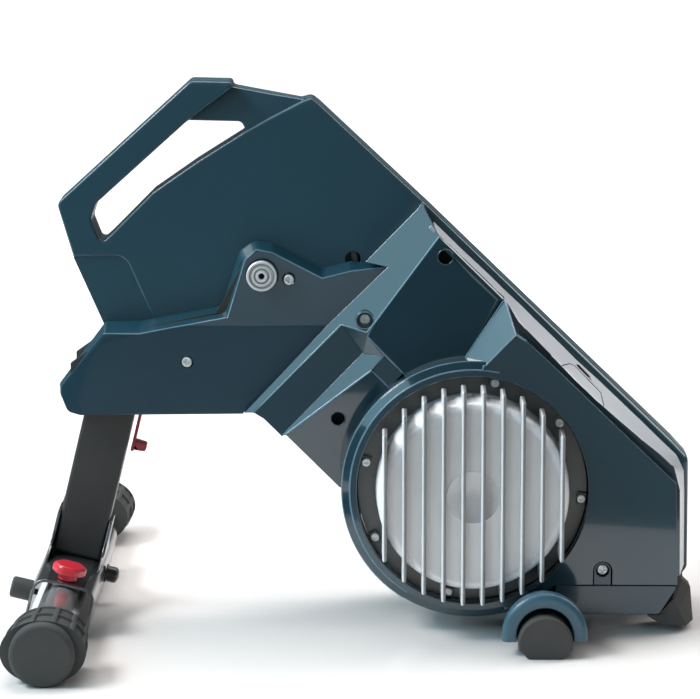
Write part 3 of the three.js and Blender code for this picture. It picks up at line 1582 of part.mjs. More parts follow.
function pivot_hardware() {
  const pin = rod(pivot_pin.radius, across.near_plate, far_plate_back + seat_gap, ...pivot_at);
  piece("leg_pivot_pin", pin, "steel");
  const bar = rod(
    fold_stop_bar.radius,
    near_plate_back + seat_gap,
    across.far_plate - seat_gap,
    ...fold_stop_at,
  );
  piece("fold_stop_bar", bar, "steel");
}

// Rear cross tube, shrouds, rubber feet and wedge bumpers

function rear_feet() {
  const bore = rear_tube.radius - rear_tube.wall;
  const ends = [-rear_tube.half_length, rear_tube.half_length];
  piece("rear_cross_tube", tube(rear_tube.radius, bore, ...ends, ...rear_at), "black");
  const [x, z] = rear_at;
  const middle = z - shroud.down;
  [-1, 1].forEach((hand) => {
    const label = hand < 0 ? "left" : "right";
    const outer = pad_face;
    const front = outer - pad.proud;
    const back = front - shroud.length;
    const span = (a, b) => [hand * a, hand * b].sort((p, q) => p - q);
    const arch = new THREE.Shape([
      new THREE.Vector2(x + shroud.radius, -shroud.radius),
      ...arc(x, middle, shroud.radius, 0, Math.PI, sides.plain),
      new THREE.Vector2(x - shroud.radius, -shroud.radius),
    ]);
    const pad_z = z - rear_tube.height + pad.radius - pad.drop;
    const under = rod(shroud.inner, ...span(back - overrun, front + overrun), x, pad_z, sides.fine);
    const under_foot = block(
      [x - shroud.inner, Math.min(...span(back, front)) - overrun, -overrun],
      [x + shroud.inner, Math.max(...span(back, front)) + overrun, pad_z],
    );
    const tube_hole = rod(rear_tube.radius + seat_gap, ...span(back - overrun, front + overrun), x, z);
    const below = block(
      [x - 2 * shroud.radius, Math.min(...span(back, front)) - overrun, -2 * shroud.radius],
      [x + 2 * shroud.radius, Math.max(...span(back, front)) + overrun, middle - shroud.skirt],
    );
    const cover = cut(slab(arch, ...span(back, front), shroud.round), under, under_foot, tube_hole, below);
    piece(`rear_shroud_${label}`, cover, "blue");

    const low = pad_z - pad.radius + pad.drop;
    const turn = Math.asin((pad.flat_rise - pad_z) / pad.radius);
    const foot_shape = new THREE.Shape([
      new THREE.Vector2(x + pad.half_flat, low),
      ...arc(x, pad_z, pad.radius, turn, Math.PI - turn, sides.plain),
      new THREE.Vector2(x - pad.half_flat, low),
    ]);
    const tube_seat = rod(rear_tube.radius + seat_gap, ...span(0, rear_tube.half_length + seat_gap), x, z);
    const foot_pad = cut(slab(foot_shape, ...span(outer - pad.length, outer), edge_round), tube_seat);
    piece(`rear_foot_pad_${label}`, foot_pad, "rubber");
    const wedge_outer = hand < 0 ? -across.cover_face - wedge.inset : flywheel_cover.side_depth - wedge.inset;
    const inner = hand < 0 ? wedge_outer - wedge.width : across.casing_back + seat_gap;
    const wedge_body = moulding(wedge_side_shares, ...span(inner, wedge_outer), 0, wedge.corner);
    piece(`wedge_bumper_${label}`, wedge_body, "rubber");
  });
}

belt_casing();
frame_plates();
drive_hub();
belt_drive();
brake_unit();
drive_side_cover();
arm_covers();
main_cover();
lower_rear_cover();
rear_spine();
front_leg();
pivot_hardware();
rear_feet();

// The part's zero is on the floor under the middle of its own box.
const part = new THREE.Group();
part.add(trainer);
part.updateMatrixWorld(true);
const box = new THREE.Box3().setFromObject(part, true);
const middle = box.getCenter(new THREE.Vector3());
trainer.position.set(-middle.x, -middle.y, -box.min.z);

export default part;
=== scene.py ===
"""A direct drive bike trainer in its finishes, standing on a white studio floor.

Pieces are drawn in millimetres from the hub's axis: x to the rear of the bike, y to its drive side
and z up from the floor. placed() turns them into the part's metres.
"""

import math

import bmesh
import bpy
import numpy as np
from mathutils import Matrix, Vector
from mathutils.geometry import delaunay_2d_cdt


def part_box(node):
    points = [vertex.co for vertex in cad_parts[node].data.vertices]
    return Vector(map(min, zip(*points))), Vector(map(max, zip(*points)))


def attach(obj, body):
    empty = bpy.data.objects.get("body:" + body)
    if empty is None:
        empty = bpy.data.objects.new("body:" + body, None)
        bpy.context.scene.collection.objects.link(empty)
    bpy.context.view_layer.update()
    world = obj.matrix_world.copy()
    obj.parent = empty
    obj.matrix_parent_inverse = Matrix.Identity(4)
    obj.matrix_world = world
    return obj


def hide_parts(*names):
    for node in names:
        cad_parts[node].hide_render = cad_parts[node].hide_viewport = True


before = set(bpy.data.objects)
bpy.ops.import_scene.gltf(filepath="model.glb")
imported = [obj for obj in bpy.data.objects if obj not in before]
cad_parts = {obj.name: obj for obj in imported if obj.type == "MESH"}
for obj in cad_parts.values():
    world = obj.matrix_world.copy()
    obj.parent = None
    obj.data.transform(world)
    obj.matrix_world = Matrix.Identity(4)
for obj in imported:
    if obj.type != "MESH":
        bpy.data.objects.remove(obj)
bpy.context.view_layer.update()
axle_low, axle_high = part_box("hub_axle")
HUB_SHIFT = (axle_low.x + axle_high.x) / 2
MM = 0.001
# Between faces that lie against each other, in millimetres
CLEAR = 0.3

# Axes across the trainer, (x, z)
HUB = (0.0, 345.0)
BRAKE = (206.0, 142.0)
REAR_TUBE = (273.7, 25.0)
REAR_FOOT = (273.7, 20.0)
PIVOT = (-142.0, 250.0)
FRONT_TUBE = (-195.0, 30.5)
LOWER_SCREW = (333.5, 62.2)

# Stations across the trainer
DROPOUT = -65.0
COVER_FACE = -113.0
RIDGE = -84.0
SPUR = -80.0
STRIP = -66.0
ARM_FACE = -60.0
PLATE_FACE = -50.8
PLATE_BACK = -45.8
CASING_FACE = -36.0
CASING_SPLIT = -13.0
CASING_BACK = 10.0
COVER_BACK = CASING_FACE - CLEAR
FIN_EDGE = -151.0
HOUSING_FACE = -141.0
FIN_FOOT = -112.5
HOUSING_BACK = -97.3
REAR_TUBE_END = -198.0

# Radii about the brake's axis
HOUSING_RIM = 93.0
FIN_REACH = 105.5
OPENING = 112.5
COVER_FACE_EDGE = 118.6
FACET_EDGE = 119.5
RING_FACE = 119.6
RING_OUTER = 127.5

FINS = 10
FIN_SPACING = 19.0
# Points nearer than this, in millimetres, are joined
WELD = 0.004


# Lines and surfaces


def placed(points):
    """Drawing millimetres to the part's metres."""
    points = np.array(points, float) * MM
    points[..., 0] += HUB_SHIFT
    return points


def unit(vectors):
    """Vectors brought to a length of one."""
    return vectors / np.maximum(np.linalg.norm(vectors, axis=-1, keepdims=True), 1e-9)


def exact(points):
    """Numbers that a 32-bit vector holds without change."""
    return np.asarray(points, np.float32).astype(float)


def anticlockwise(loop):
    """The loop, turned round if it runs clockwise."""
    x, z = loop.T
    area = (x * np.roll(z, -1) - z * np.roll(x, -1)).sum()
    return loop if area > 0 else loop[::-1]


def rounded(corners, radius, steps=6):
    """An outline with an arc in each corner, as rational quadratics.

    P(t) = ((1-t)^2 S + 2 w t (1-t) C + t^2 E) / ((1-t)^2 + 2 w t (1-t) + t^2), with C the corner, S and E
    the ends of its arc and w the sine of half its angle.
    """
    corners = np.asarray(corners, float)
    before = np.roll(corners, 1, axis=0) - corners
    after = np.roll(corners, -1, axis=0) - corners
    short = 0.47 * np.minimum(np.linalg.norm(before, axis=1), np.linalg.norm(after, axis=1))
    before, after = unit(before), unit(after)
    half = np.arccos(np.clip((before * after).sum(1), -1, 1)) / 2
    reach = np.clip(np.asarray(radius) / np.tan(half), 0.02, short)
    reach = np.where(np.asarray(radius) > 0, reach, 0)[:, None, None]
    weight = np.sin(half)[:, None, None]
    start = corners[:, None] + before[:, None] * reach
    end = corners[:, None] + after[:, None] * reach
    t = np.linspace(0, 1, steps + 1)[None, :, None]
    low, middle, high = (1 - t) ** 2, 2 * weight * t * (1 - t), t**2
    run = (low * start + middle * corners[:, None] + high * end) / (low + middle + high)
    return run.reshape(-1, 2)


def circle(radius, centre=(0, 0), sides=48, height=None):
    """An ellipse's points, anticlockwise."""
    t = np.linspace(0, 2 * np.pi, sides, endpoint=False)
    tall = radius if height is None else height
    return np.column_stack([centre[0] + radius * np.cos(t), centre[1] + tall * np.sin(t)])


def arc(radius, centre, start, end, steps=16):
    """Points along part of a circle, between two angles in degrees."""
    t = np.radians(np.linspace(start, end, steps + 1))
    return np.column_stack([centre[0] + radius * np.cos(t), centre[1] + radius * np.sin(t)])


def inset(loop, amount):
    """A loop moved to its left by the amount, each point along its own bisector."""
    along = unit(np.roll(loop, -1, axis=0) - loop)
    left = np.column_stack([-along[:, 1], along[:, 0]])
    before = np.roll(left, 1, axis=0)
    spread = 1 + (left * before).sum(1, keepdims=True)
    return loop + (left + before) * np.reshape(amount, (-1, 1)) / np.maximum(spread, 0.35)


def quarter(steps=4):
    """Shares (inset, drop) of a rounded edge, from the face round to the side."""
    turn = np.linspace(0, np.pi / 2, steps + 1)
    return np.column_stack([1 - np.sin(turn), 1 - np.cos(turn)])


def surface(x, y, z):
    """Points whose three coordinates are spread over each other's rows and columns."""
    return np.stack(np.broadcast_arrays(x, y, z), -1)


def stationed(loop, station):
    """A side-view loop at a station, one number or one for each point."""
    loop = exact(loop)
    return surface(loop[:, 0], station, loop[:, 1])


def grid(points, wrap_rows=False):
    """Quads over an array (rows, columns, 3) whose last column meets its first."""
    rows, columns = points.shape[:2]
    index = np.arange(rows * columns).reshape(rows, columns)
    down = np.roll(index, -1, axis=0)
    if not wrap_rows:
        index, down = index[:-1], down[:-1]
    across, diagonal = np.roll(index, -1, axis=1), np.roll(down, -1, axis=1)
    quads = np.stack([index, across, diagonal, down], -1)
    return points.reshape(-1, 3), quads.reshape(-1, 4)


def within(spots, loops):
    """True where a spot lies inside an odd number of loops."""
    inside = np.zeros(len(spots), bool)
    x, z = spots[:, 0][:, None], spots[:, 1][:, None]
    for loop in loops:
        (ax, az), (bx, bz) = loop.T, np.roll(loop, -1, axis=0).T
        straddles = (az > z) != (bz > z)
        cross = ax + (z - az) * (bx - ax) / np.where(bz == az, 1e-12, bz - az)
        inside ^= (straddles & (x < cross)).sum(1) % 2 == 1
    return inside


def cap(loops, station, creases=()):
    """Triangles inside the first side-view loop and outside the others, at a station or station(spots)."""
    loops = [exact(loop) for loop in loops]
    lines = [*loops, *[exact(line) for line in creases]]
    points = np.concatenate(lines)
    edges = []
    start = 0
    for number, line in enumerate(lines):
        index = np.arange(len(line)) + start
        pairs = np.column_stack([index, np.roll(index, -1)])
        edges.append(pairs if number < len(loops) else pairs[:-1])
        start += len(line)
    flat = [Vector(point) for point in points.tolist()]
    made = delaunay_2d_cdt(flat, np.concatenate(edges).tolist(), [], 1, 1e-5)
    spots = np.array([tuple(spot) for spot in made[0]])
    triangles = np.array(made[2])
    triangles = triangles[within(spots[triangles].mean(1), loops)]
    return stationed(spots, station(spots) if callable(station) else station), triangles


def plate(
    outline, near, far, near_round=2.0, far_round=1.0, holes=(), hole_round=None, relief=None, steps=4
):
    """A moulding between two stations, its edges rounded; relief(spots) moves its near face in depth."""
    relief = relief or (lambda spots: np.zeros(len(spots)))
    rings = [anticlockwise(np.asarray(outline))]
    rings += [anticlockwise(np.asarray(hole))[::-1] for hole in holes]
    rounds = [near_round] + [near_round if hole_round is None else hole_round] * len(holes)
    share = quarter(steps)
    patches, faces, backs = [], [], []
    for ring, radius in zip(rings, rounds):
        loops = []
        for step, drop in share:
            line = inset(ring, np.asarray(radius) * step)
            loops.append(stationed(line, near + np.asarray(radius) * drop + relief(line)))
        for step, drop in share[::-1]:
            loops.append(stationed(inset(ring, far_round * step), far - far_round * drop))
        patches.append(grid(np.array(loops)))
        faces.append(inset(ring, np.asarray(radius)))
        backs.append(inset(ring, far_round))
    patches.append(cap(faces, lambda spots: near + relief(spots)))
    patches.append(cap(backs, far))
    return patches


def turned(profile, centre=(0, 0), axis="y", sides=72):
    """A closed run of (radius, station) pairs swept round an axis: P = c + r (cos t, sin t) across it."""
    radius, station = np.asarray(profile, float).T
    t = np.linspace(0, 2 * np.pi, sides, endpoint=False)
    first = centre[0] + radius[:, None] * np.cos(t)
    second = centre[1] + radius[:, None] * np.sin(t)
    along = station[:, None]
    order = {"x": (along, first, second), "y": (first, along, second), "z": (first, second, along)}
    return [grid(surface(*order[axis]), wrap_rows=True)]


def sleeve(inner, outer, start, end, centre=(0, 0), axis="y", sides=72, radius=0, steps=2):
    """A ring between two radii and two stations, square or with its edges rounded."""
    run = [(inner, start), (outer, start), (outer, end), (inner, end)]
    return turned(rounded(run, radius, steps) if np.any(radius) else run, centre, axis, sides)


def crown(rim, face, bend):
    """A quarter round from a turned piece's face to its rim, as (radius, station) pairs."""
    t = np.linspace(0, np.pi / 2, 10)
    return np.column_stack([rim - bend + bend * np.sin(t), face + bend - bend * np.cos(t)])


def lids(loops):
    """Flat ends for a run of loops, as fans of triangles about their middles."""
    made = []
    for loop in (loops[0], loops[-1]):
        middle = loop.mean(0)
        count = len(loop)
        fan = np.column_stack([np.arange(count), np.roll(np.arange(count), -1), np.full(count, count)])
        made.append((np.vstack([loop, middle]), fan))
    return made


def skin(loops):
    """A closed shell over a run of loops, with a lid on each end."""
    return [grid(np.array(loops)), *lids(loops)]


def bead(points, radius):
    """A round tube of that radius along a line of (x, y, z) points, narrowed at its two ends."""
    points = np.array(points, float)
    t = np.linspace(0, 2 * np.pi, 16, endpoint=False)[:, None]
    first, last = unit(points[1] - points[0]) * radius, unit(points[-1] - points[-2]) * radius
    spots = np.vstack([points[0] - first * 0.8, points, points[-1] + last * 0.8])
    width = np.array([0.45, *np.ones(len(points)), 0.45])
    loops = []
    for spot, along, wide in zip(spots, unit(np.gradient(spots, axis=0)), width):
        side = unit(np.cross(along, [0.0, 1.0, 0.01]))
        loops.append(spot + radius * wide * (np.cos(t) * side + np.sin(t) * np.cross(side, along)))
    return [skin(loops)]


def block(low, high):
    """A box between its lowest and its highest corner."""
    (x0, y0, z0), (x1, y1, z1) = low, high
    corners = np.array([[x, y, z] for x in (x0, x1) for y in (y0, y1) for z in (z0, z1)])
    sides = np.array([[0, 1, 3, 2], [4, 6, 7, 5], [0, 4, 5, 1], [2, 3, 7, 6], [0, 2, 6, 4], [1, 5, 7, 3]])
    return [(corners, sides)]


def spun(patches, t, centre):
    """Patches drawn about the zero, turned by t radians about an axis across the trainer and put there."""
    c, s = math.cos(t), math.sin(t)
    turn = np.array([[c, 0, -s], [0, 1, 0], [s, 0, c]])
    return [(points @ turn.T + [centre[0], 0, centre[1]], faces) for points, faces in patches]


def crossways(patches):
    """Patches with their station axis turned along the bike: (x, y, z) to (y, x, z)."""
    return [(points[:, [1, 0, 2]], faces) for points, faces in patches]


def mirrored(patches):
    """The same piece on the drive side."""
    return [(points * [1, -1, 1], faces) for points, faces in patches]


SIDES = (("left", lambda patches: patches), ("right", mirrored))


def welded(patches):
    """Patches joined where their points share a place, with the faces that lost an edge thinned."""
    points = np.concatenate([spots for spots, _ in patches])
    starts = np.cumsum([0] + [len(spots) for spots, _ in patches])
    cells = np.round(points / WELD).astype(np.int64)
    _, first, back = np.unique(cells, axis=0, return_index=True, return_inverse=True)
    back = back.reshape(-1)
    quads, triangles = [np.zeros((0, 4), int)], [np.zeros((0, 3), int)]
    for (_, faces), start in zip(patches, starts):
        rows = back[faces + start]
        same = rows == np.roll(rows, -1, axis=1)
        if rows.shape[1] == 3:
            triangles.append(rows[~same.any(1)])
            continue
        crossed = (rows[:, 0] == rows[:, 2]) | (rows[:, 1] == rows[:, 3])
        quads.append(rows[~same.any(1) & ~crossed])
        for column in range(4):
            once = rows[(same.sum(1) == 1) & same[:, column] & ~crossed]
            triangles.append(np.delete(once, column, axis=1))
    return points[first], np.concatenate(quads), np.concatenate(triangles)


def piece(name, solids, finish, node, body="base", bevel=0.0, sharp=33.0, slot=None):
    """One object from closed shells, each a list of patches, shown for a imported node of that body.

    The bevel is in millimetres, and edges sharper than that angle in degrees stay crisp.
    """
    slot = slot or SLOT_OF[finish.name]
    points, faces, start = [], [], 0
    for patches in solids:
        spots, quads, triangles = welded(patches)
        points.append(spots)
        faces += (quads + start).tolist() + (triangles + start).tolist()
        start += len(spots)
    mesh = bpy.data.meshes.new(name)
    mesh.from_pydata(placed(np.concatenate(points)).tolist(), [], faces)
    work = bmesh.new()
    work.from_mesh(mesh)
    bmesh.ops.recalc_face_normals(work, faces=work.faces)
    work.to_mesh(mesh)
    work.free()
    mesh.set_sharp_from_angle(angle=math.radians(sharp))
    mesh.materials.append(finish)
    made = bpy.data.objects.new(name, mesh)
    bpy.context.scene.collection.objects.link(made)
    if bevel:
        soften(made, bevel)
    flat = made.modifiers.new("flat faces", "WEIGHTED_NORMAL")
    flat.keep_sharp = True
    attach(made, body)
    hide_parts(node)


def soften(made, width):
    """A small bevel, its width in millimetres, on edges sharper than 34 degrees."""
    bevel = made.modifiers.new("soft edges", "BEVEL")
    bevel.width = width * MM
    bevel.segments = 2
    bevel.limit_method = "ANGLE"
    bevel.angle_limit = math.radians(34.0)
    bevel.harden_normals = True
    bevel.use_clamp_overlap = True


def keep(node, finish, width):
    """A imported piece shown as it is, in a better finish and with its edges softened."""
    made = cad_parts[node]
    made.data.materials.clear()
    made.data.materials.append(finish)
    made.data.shade_smooth()
    weld = made.modifiers.new("joined corners", "WELD")
    weld.merge_threshold = 0.02 * MM
    soften(made, width)


# Finishes


def srgb(red, green, blue):
    """A colour as seen on a screen, 0 to 255, as the shader's linear colour."""
    share = np.array([red, green, blue]) / 255
    low = share / 12.92
    high = ((share + 0.055) / 1.055) ** 2.4
    return (*np.where(share < 0.04045, low, high).tolist(), 1.0)


# Near white painted highlight, for the housing's round shoulder and the left edge of each fin
ALLOY_HIGHLIGHT = srgb(250, 250, 251)
TURNED_BRIGHT = srgb(236, 236, 236)
# Painted shade for the rings over the end cap's grooves
GROOVE_SHADE = srgb(84, 86, 86)


class Value:
    """A number that varies over a surface; arithmetic on it adds to its finish."""

    def __init__(self, finish, socket):
        self.finish = finish
        self.socket = socket

    def __add__(self, other):
        return self.finish.reckon("ADD", self, other)

    def __sub__(self, other):
        return self.finish.reckon("SUBTRACT", self, other)

    def __rsub__(self, other):
        return self.finish.reckon("SUBTRACT", other, self)

    def __mul__(self, other):
        return self.finish.reckon("MULTIPLY", self, other)

    def __truediv__(self, other):
        return self.finish.reckon("DIVIDE", self, other)

    def __pow__(self, other):
        return self.finish.reckon("POWER", self, other)

    def __neg__(self):
        return self * -1

    __radd__ = __add__
    __rmul__ = __mul__

    def sine(self):
        return self.finish.reckon("SINE", self)

    def fraction(self):
        return self.finish.reckon("FRACT", self)

    def held(self):
        """Kept between 0 and 1."""
        made = self.finish.reckon("ADD", self, 0.0)
        made.socket.node.use_clamp = True
        return made

    def past(self, low, high):
        """0 below the low number, 1 above the high one."""
        return ((self - low) / (high - low)).held()


class Finish:
    """A material whose varying inputs are worked out from where a point is on the trainer."""

    def __init__(self, name, roughness=0.4, metallic=0.0, **constants):
        self.material = bpy.data.materials.new(name)
        self.material.use_nodes = True
        self.tree = self.material.node_tree
        self.tree.nodes.clear()
        output = self.tree.nodes.new("ShaderNodeOutputMaterial")
        self.shader = self.tree.nodes.new("ShaderNodeBsdfPrincipled")
        self.tree.links.new(self.shader.outputs[0], output.inputs[0])
        self.set("Roughness", roughness)
        self.set("Metallic", metallic)
        for socket, value in constants.items():
            self.set(socket.replace("_", " ").title().replace("Ior", "IOR"), value)
        self.place = self.node("ShaderNodeTexCoord").outputs["Object"]

    def set(self, socket, value):
        self.feed(self.shader.inputs[socket], value)
        return self

    def feed(self, socket, value):
        source = value.socket if isinstance(value, Value) else value
        if isinstance(source, bpy.types.NodeSocket):
            self.tree.links.new(source, socket)
        else:
            socket.default_value = source

    def node(self, kind, settings=None, inputs=None):
        """Any node: its type, its settings and then its inputs by name or number."""
        made = self.tree.nodes.new(kind)
        for key, value in (settings or {}).items():
            setattr(made, key, value)
        for key, value in (inputs or {}).items():
            self.feed(made.inputs[key], value)
        return made

    def reckon(self, operation, *inputs):
        made = self.node("ShaderNodeMath", {"operation": operation}, dict(enumerate(inputs)))
        return Value(self, made.outputs[0])

    def along(self, axis):
        """The place in metres along x, y or z."""
        made = self.node("ShaderNodeSeparateXYZ", None, {0: self.place})
        return Value(self, made.outputs["XYZ".index(axis)])

    def noise(self, size, detail=2.0, stretch=(1, 1, 1)):
        """Soft noise from 0 to 1 with blotches of that size in millimetres."""
        scaled = self.node("ShaderNodeMapping", None, {"Vector": self.place, "Scale": stretch})
        inputs = {"Vector": scaled.outputs[0], "Scale": 1 / (size * MM), "Detail": detail}
        return Value(self, self.node("ShaderNodeTexNoise", None, inputs).outputs[0])

    def radius(self, centre):
        """The distance in metres from an axis that runs across the trainer."""
        x = self.along("X") - (centre[0] * MM + HUB_SHIFT)
        z = self.along("Z") - centre[1] * MM
        return (x * x + z * z) ** 0.5

    def between(self, share, low, high):
        """A colour that goes from the low one to the high one with the share."""
        made = self.node("ShaderNodeMix", {"data_type": "RGBA"}, {0: share, 6: low, 7: high})
        return made.outputs[2]

    def colour(self, value):
        return self.set("Base Color", value)

    def bump(self, height, strength=0.2, distance=0.2):
        inputs = {"Height": height, "Strength": strength, "Distance": distance * MM}
        return self.set("Normal", self.node("ShaderNodeBump", None, inputs).outputs[0])


def moulded(name, base, tint, roughness=0.36, grain=0.12, coat=0.25, gloss=0.18):
    """Satin moulded plastic: a fine even grain and slow, faint changes of tone."""
    made = Finish(name, roughness, coat_weight=coat, coat_roughness=gloss, ior=1.48)
    slow = made.noise(70, 1.0)
    fine = made.noise(0.9, 3.0)
    made.colour(made.between(slow * 0.7 + fine * 0.15, base, tint))
    made.set("Roughness", roughness - 0.04 + fine * 0.08)
    return made.bump(fine, grain, 0.05).material


def cast(name, base, tint, roughness=0.42, metallic=0.55, shoulder=None):
    """Sand-cast alloy, blasted and painted silver: speckled, with a light grain in its normal.

    A shoulder (axis, inner and outer radius) gets a painted highlight: its round edge is painted near
    white, as if lit all round.
    """
    made = Finish(name, roughness, metallic)
    speck = made.noise(0.8, 4.0)
    body = made.between(made.noise(35, 2.0) * 0.5 + speck * 0.5, base, tint)
    if shoulder:
        centre, inner, outer = shoulder
        shoulder_highlight = made.radius(centre).past(inner * MM, (inner + 3) * MM)
        shoulder_highlight = shoulder_highlight * (1 - made.radius(centre).past(outer * MM, (outer + 2) * MM))
        body = made.between(shoulder_highlight, body, ALLOY_HIGHLIGHT)
    made.colour(body)
    made.set("Roughness", roughness + speck * 0.14 - 0.07)
    return made.bump(speck, 0.35, 0.12).material


def fins_with_painted_light(name, bright, dull):
    """Cast fins painted with light: a painted highlight along the left of each, painted shade past its
    middle.
    """
    made = Finish(name, 0.34, 0.2)
    fins_along = (made.along("X") - (BRAKE[0] * MM + HUB_SHIFT)) / (FIN_SPACING * MM)
    across = (fins_along + FINS / 2).fraction()
    made.colour(made.between(across.past(0.45, 0.5), bright, dull))
    return made.bump(made.noise(0.8, 4.0), 0.3, 0.1).material


def lathed(name, base, centre, roughness=0.2, pitch=0.35, metallic=0.92, steps=None):
    """Bright turned metal with fine rings about its axis; steps is the spacing of the dark rings of
    painted shade over its grooves.
    """
    made = Finish(name, roughness, metallic)
    ring = (made.radius(centre) * (2 * math.pi / (pitch * MM))).sine()
    wide = (made.radius(centre) * (2 * math.pi / (9 * pitch * MM))).sine()
    body = made.between(made.noise(14, 2.0), base, TURNED_BRIGHT)
    if steps:
        # Painted shade: dark rings where the face's grooves lie
        groove = (made.radius(centre) * (-2 * math.pi / (steps * MM)) - math.pi / 2).sine()
        body = made.between(groove.past(0.0, 0.9) * 0.75, body, GROOVE_SHADE)
    made.colour(body)
    made.set("Roughness", roughness + ring * 0.05 + wide * 0.03)
    return made.bump(ring, 0.18, 0.03).material


def drawn(name, base, tint, roughness=0.25, metallic=0.85):
    """Drawn tube, streaked lengthways across the trainer."""
    made = Finish(name, roughness, metallic)
    streak = made.noise(1.2, 3.0, (1, 0.03, 1))
    made.colour(made.between(streak, base, tint))
    return made.set("Roughness", roughness + streak * 0.12 - 0.05).material


def powder(name, base, tint, roughness=0.5):
    """Powder coat on steel: an orange-peel bump."""
    made = Finish(name, roughness, coat_weight=0.15, coat_roughness=0.3)
    peel = made.noise(1.4, 2.0)
    made.colour(made.between(made.noise(40, 2.0), base, tint))
    made.set("Roughness", roughness - 0.05 + peel * 0.12)
    return made.bump(peel, 0.22, 0.12).material


def rubber(name, base, tint):
    """Moulded rubber, dull, with a dusty bloom."""
    made = Finish(name, 0.72, specular_ior_level=0.35)
    bloom = made.noise(9, 4.0)
    made.colour(made.between(bloom, base, tint))
    made.set("Roughness", 0.64 + bloom * 0.18)
    return made.bump(made.noise(0.7, 3.0), 0.3, 0.12).material


def toothed_belt():
    """Black belt with a rib across it every five millimetres."""
    made = Finish("belt rubber", 0.6)
    ribs = (made.along("X") * (2 * math.pi / (5 * MM))).sine()
    made.colour(made.between(ribs.held(), srgb(24, 24, 25), srgb(38, 38, 39)))
    return made.bump(ribs, 0.4, 0.5).material


# Each finish: its name, the two tones that it drifts between, then its roughness and so on
TEAL = moulded("teal moulding", srgb(26, 64, 77), srgb(32, 72, 86), coat=0.35, gloss=0.12)
TEAL_DEEP = moulded("deep teal moulding", srgb(26, 54, 66), srgb(32, 61, 74), 0.22, 0.05, 0.6, 0.08)
TEAL_GLOSS = moulded("glossy teal moulding", srgb(27, 54, 65), srgb(33, 62, 74), 0.12, 0.02, 0.9, 0.03)
# Lighter teal for the beads on the raised edges: a painted highlight where the rounded edges catch the
# lamps
TEAL_EDGE_HIGHLIGHT = moulded(
    "teal painted highlight on the raised edges", srgb(92, 128, 145), srgb(104, 141, 158), 0.3, 0.03, 0.5, 0.05
)
# The saddle is gloss black steel: its grey metal colour is a painted reflection of the white studio on its
# sides
SADDLE_PAINTED_SHEEN = drawn("black saddle steel painted grey as its sheen", srgb(112, 112, 114), srgb(126, 126, 128), 0.16)
BLUE = moulded("blue shroud moulding", srgb(50, 86, 102), srgb(58, 96, 113), 0.4)
BLACK_PLASTIC = moulded("black moulding", srgb(20, 21, 22), srgb(28, 29, 30), 0.45)
RED_PLASTIC = moulded("red moulding", srgb(212, 34, 50), srgb(222, 48, 64), 0.34, coat=0.4)
SILVER = cast("silver painted spine", srgb(190, 194, 198), srgb(206, 209, 213), 0.36, 0.35)
# The housing's round shoulder carries a painted highlight
CASTING = cast(
    "blasted alloy casting", srgb(214, 210, 209), srgb(234, 232, 231), 0.36, 0.12, (BRAKE, 84, HOUSING_RIM)
)
# Painted highlight on each fin's left half, painted shade on its right half
FIN_CASTING = fins_with_painted_light("fins with painted highlight and shade", ALLOY_HIGHLIGHT, srgb(146, 146, 147))
# Dull alloy for the pulleys; on the brake's back shell its dark base is painted shade of its deep place
# between ring and housing
DULL_AND_SHADED_CASTING = cast("dull alloy casting darkened as painted shade", srgb(84, 84, 83), srgb(104, 104, 102), 0.42, 0.8)
CHROME = drawn("satin chromed tube", srgb(205, 206, 204), srgb(228, 228, 226), 0.2)
STEEL = drawn("plain steel", srgb(150, 152, 154), srgb(176, 178, 180), 0.32)
BRIGHT_CAP = lathed("turned end cap", srgb(226, 226, 224), HUB, 0.34, 1.5, 0.35, 4.7)
BRIGHT_BRAKE = lathed("turned brake steel", srgb(188, 190, 192), BRAKE, 0.28, 0.5)
BLACK_STEEL = powder("black powder coat", srgb(41, 39, 37), srgb(50, 48, 46))
RED_PAINT = powder("red painted lever", srgb(150, 32, 48), srgb(168, 44, 60), 0.36)
GREY_RUBBER = rubber("grey rubber", srgb(64, 63, 62), srgb(76, 75, 74))
FOOT_RUBBER = rubber("front foot rubber", srgb(60, 60, 59), srgb(72, 72, 71))
BELT = toothed_belt()
ZINC = drawn("zinc plated screw", srgb(206, 208, 206), srgb(228, 230, 228), 0.3, 0.5)
DARK = powder("unlit inside", srgb(10, 11, 12), srgb(14, 15, 16), 0.8)

# The part's material slots and the finishes that fill them
SLOTS = {
    "teal_cover": [TEAL, TEAL_DEEP, TEAL_GLOSS, TEAL_EDGE_HIGHLIGHT],
    "blue_shroud": [BLUE],
    "silver_spine": [SILVER],
    "cast_metal": [CASTING, FIN_CASTING, DULL_AND_SHADED_CASTING],
    "black_steel": [BLACK_STEEL, SADDLE_PAINTED_SHEEN],
    "polished_metal": [CHROME, BRIGHT_CAP],
    "plain_steel": [STEEL],
    "grey_rubber": [GREY_RUBBER, FOOT_RUBBER],
    "red_control": [RED_PLASTIC, RED_PAINT],
    "black_plastic": [BLACK_PLASTIC, DARK],
}
SLOT_OF = {finish.name: slot for slot, finishes in SLOTS.items() for finish in finishes}

# Belt casing

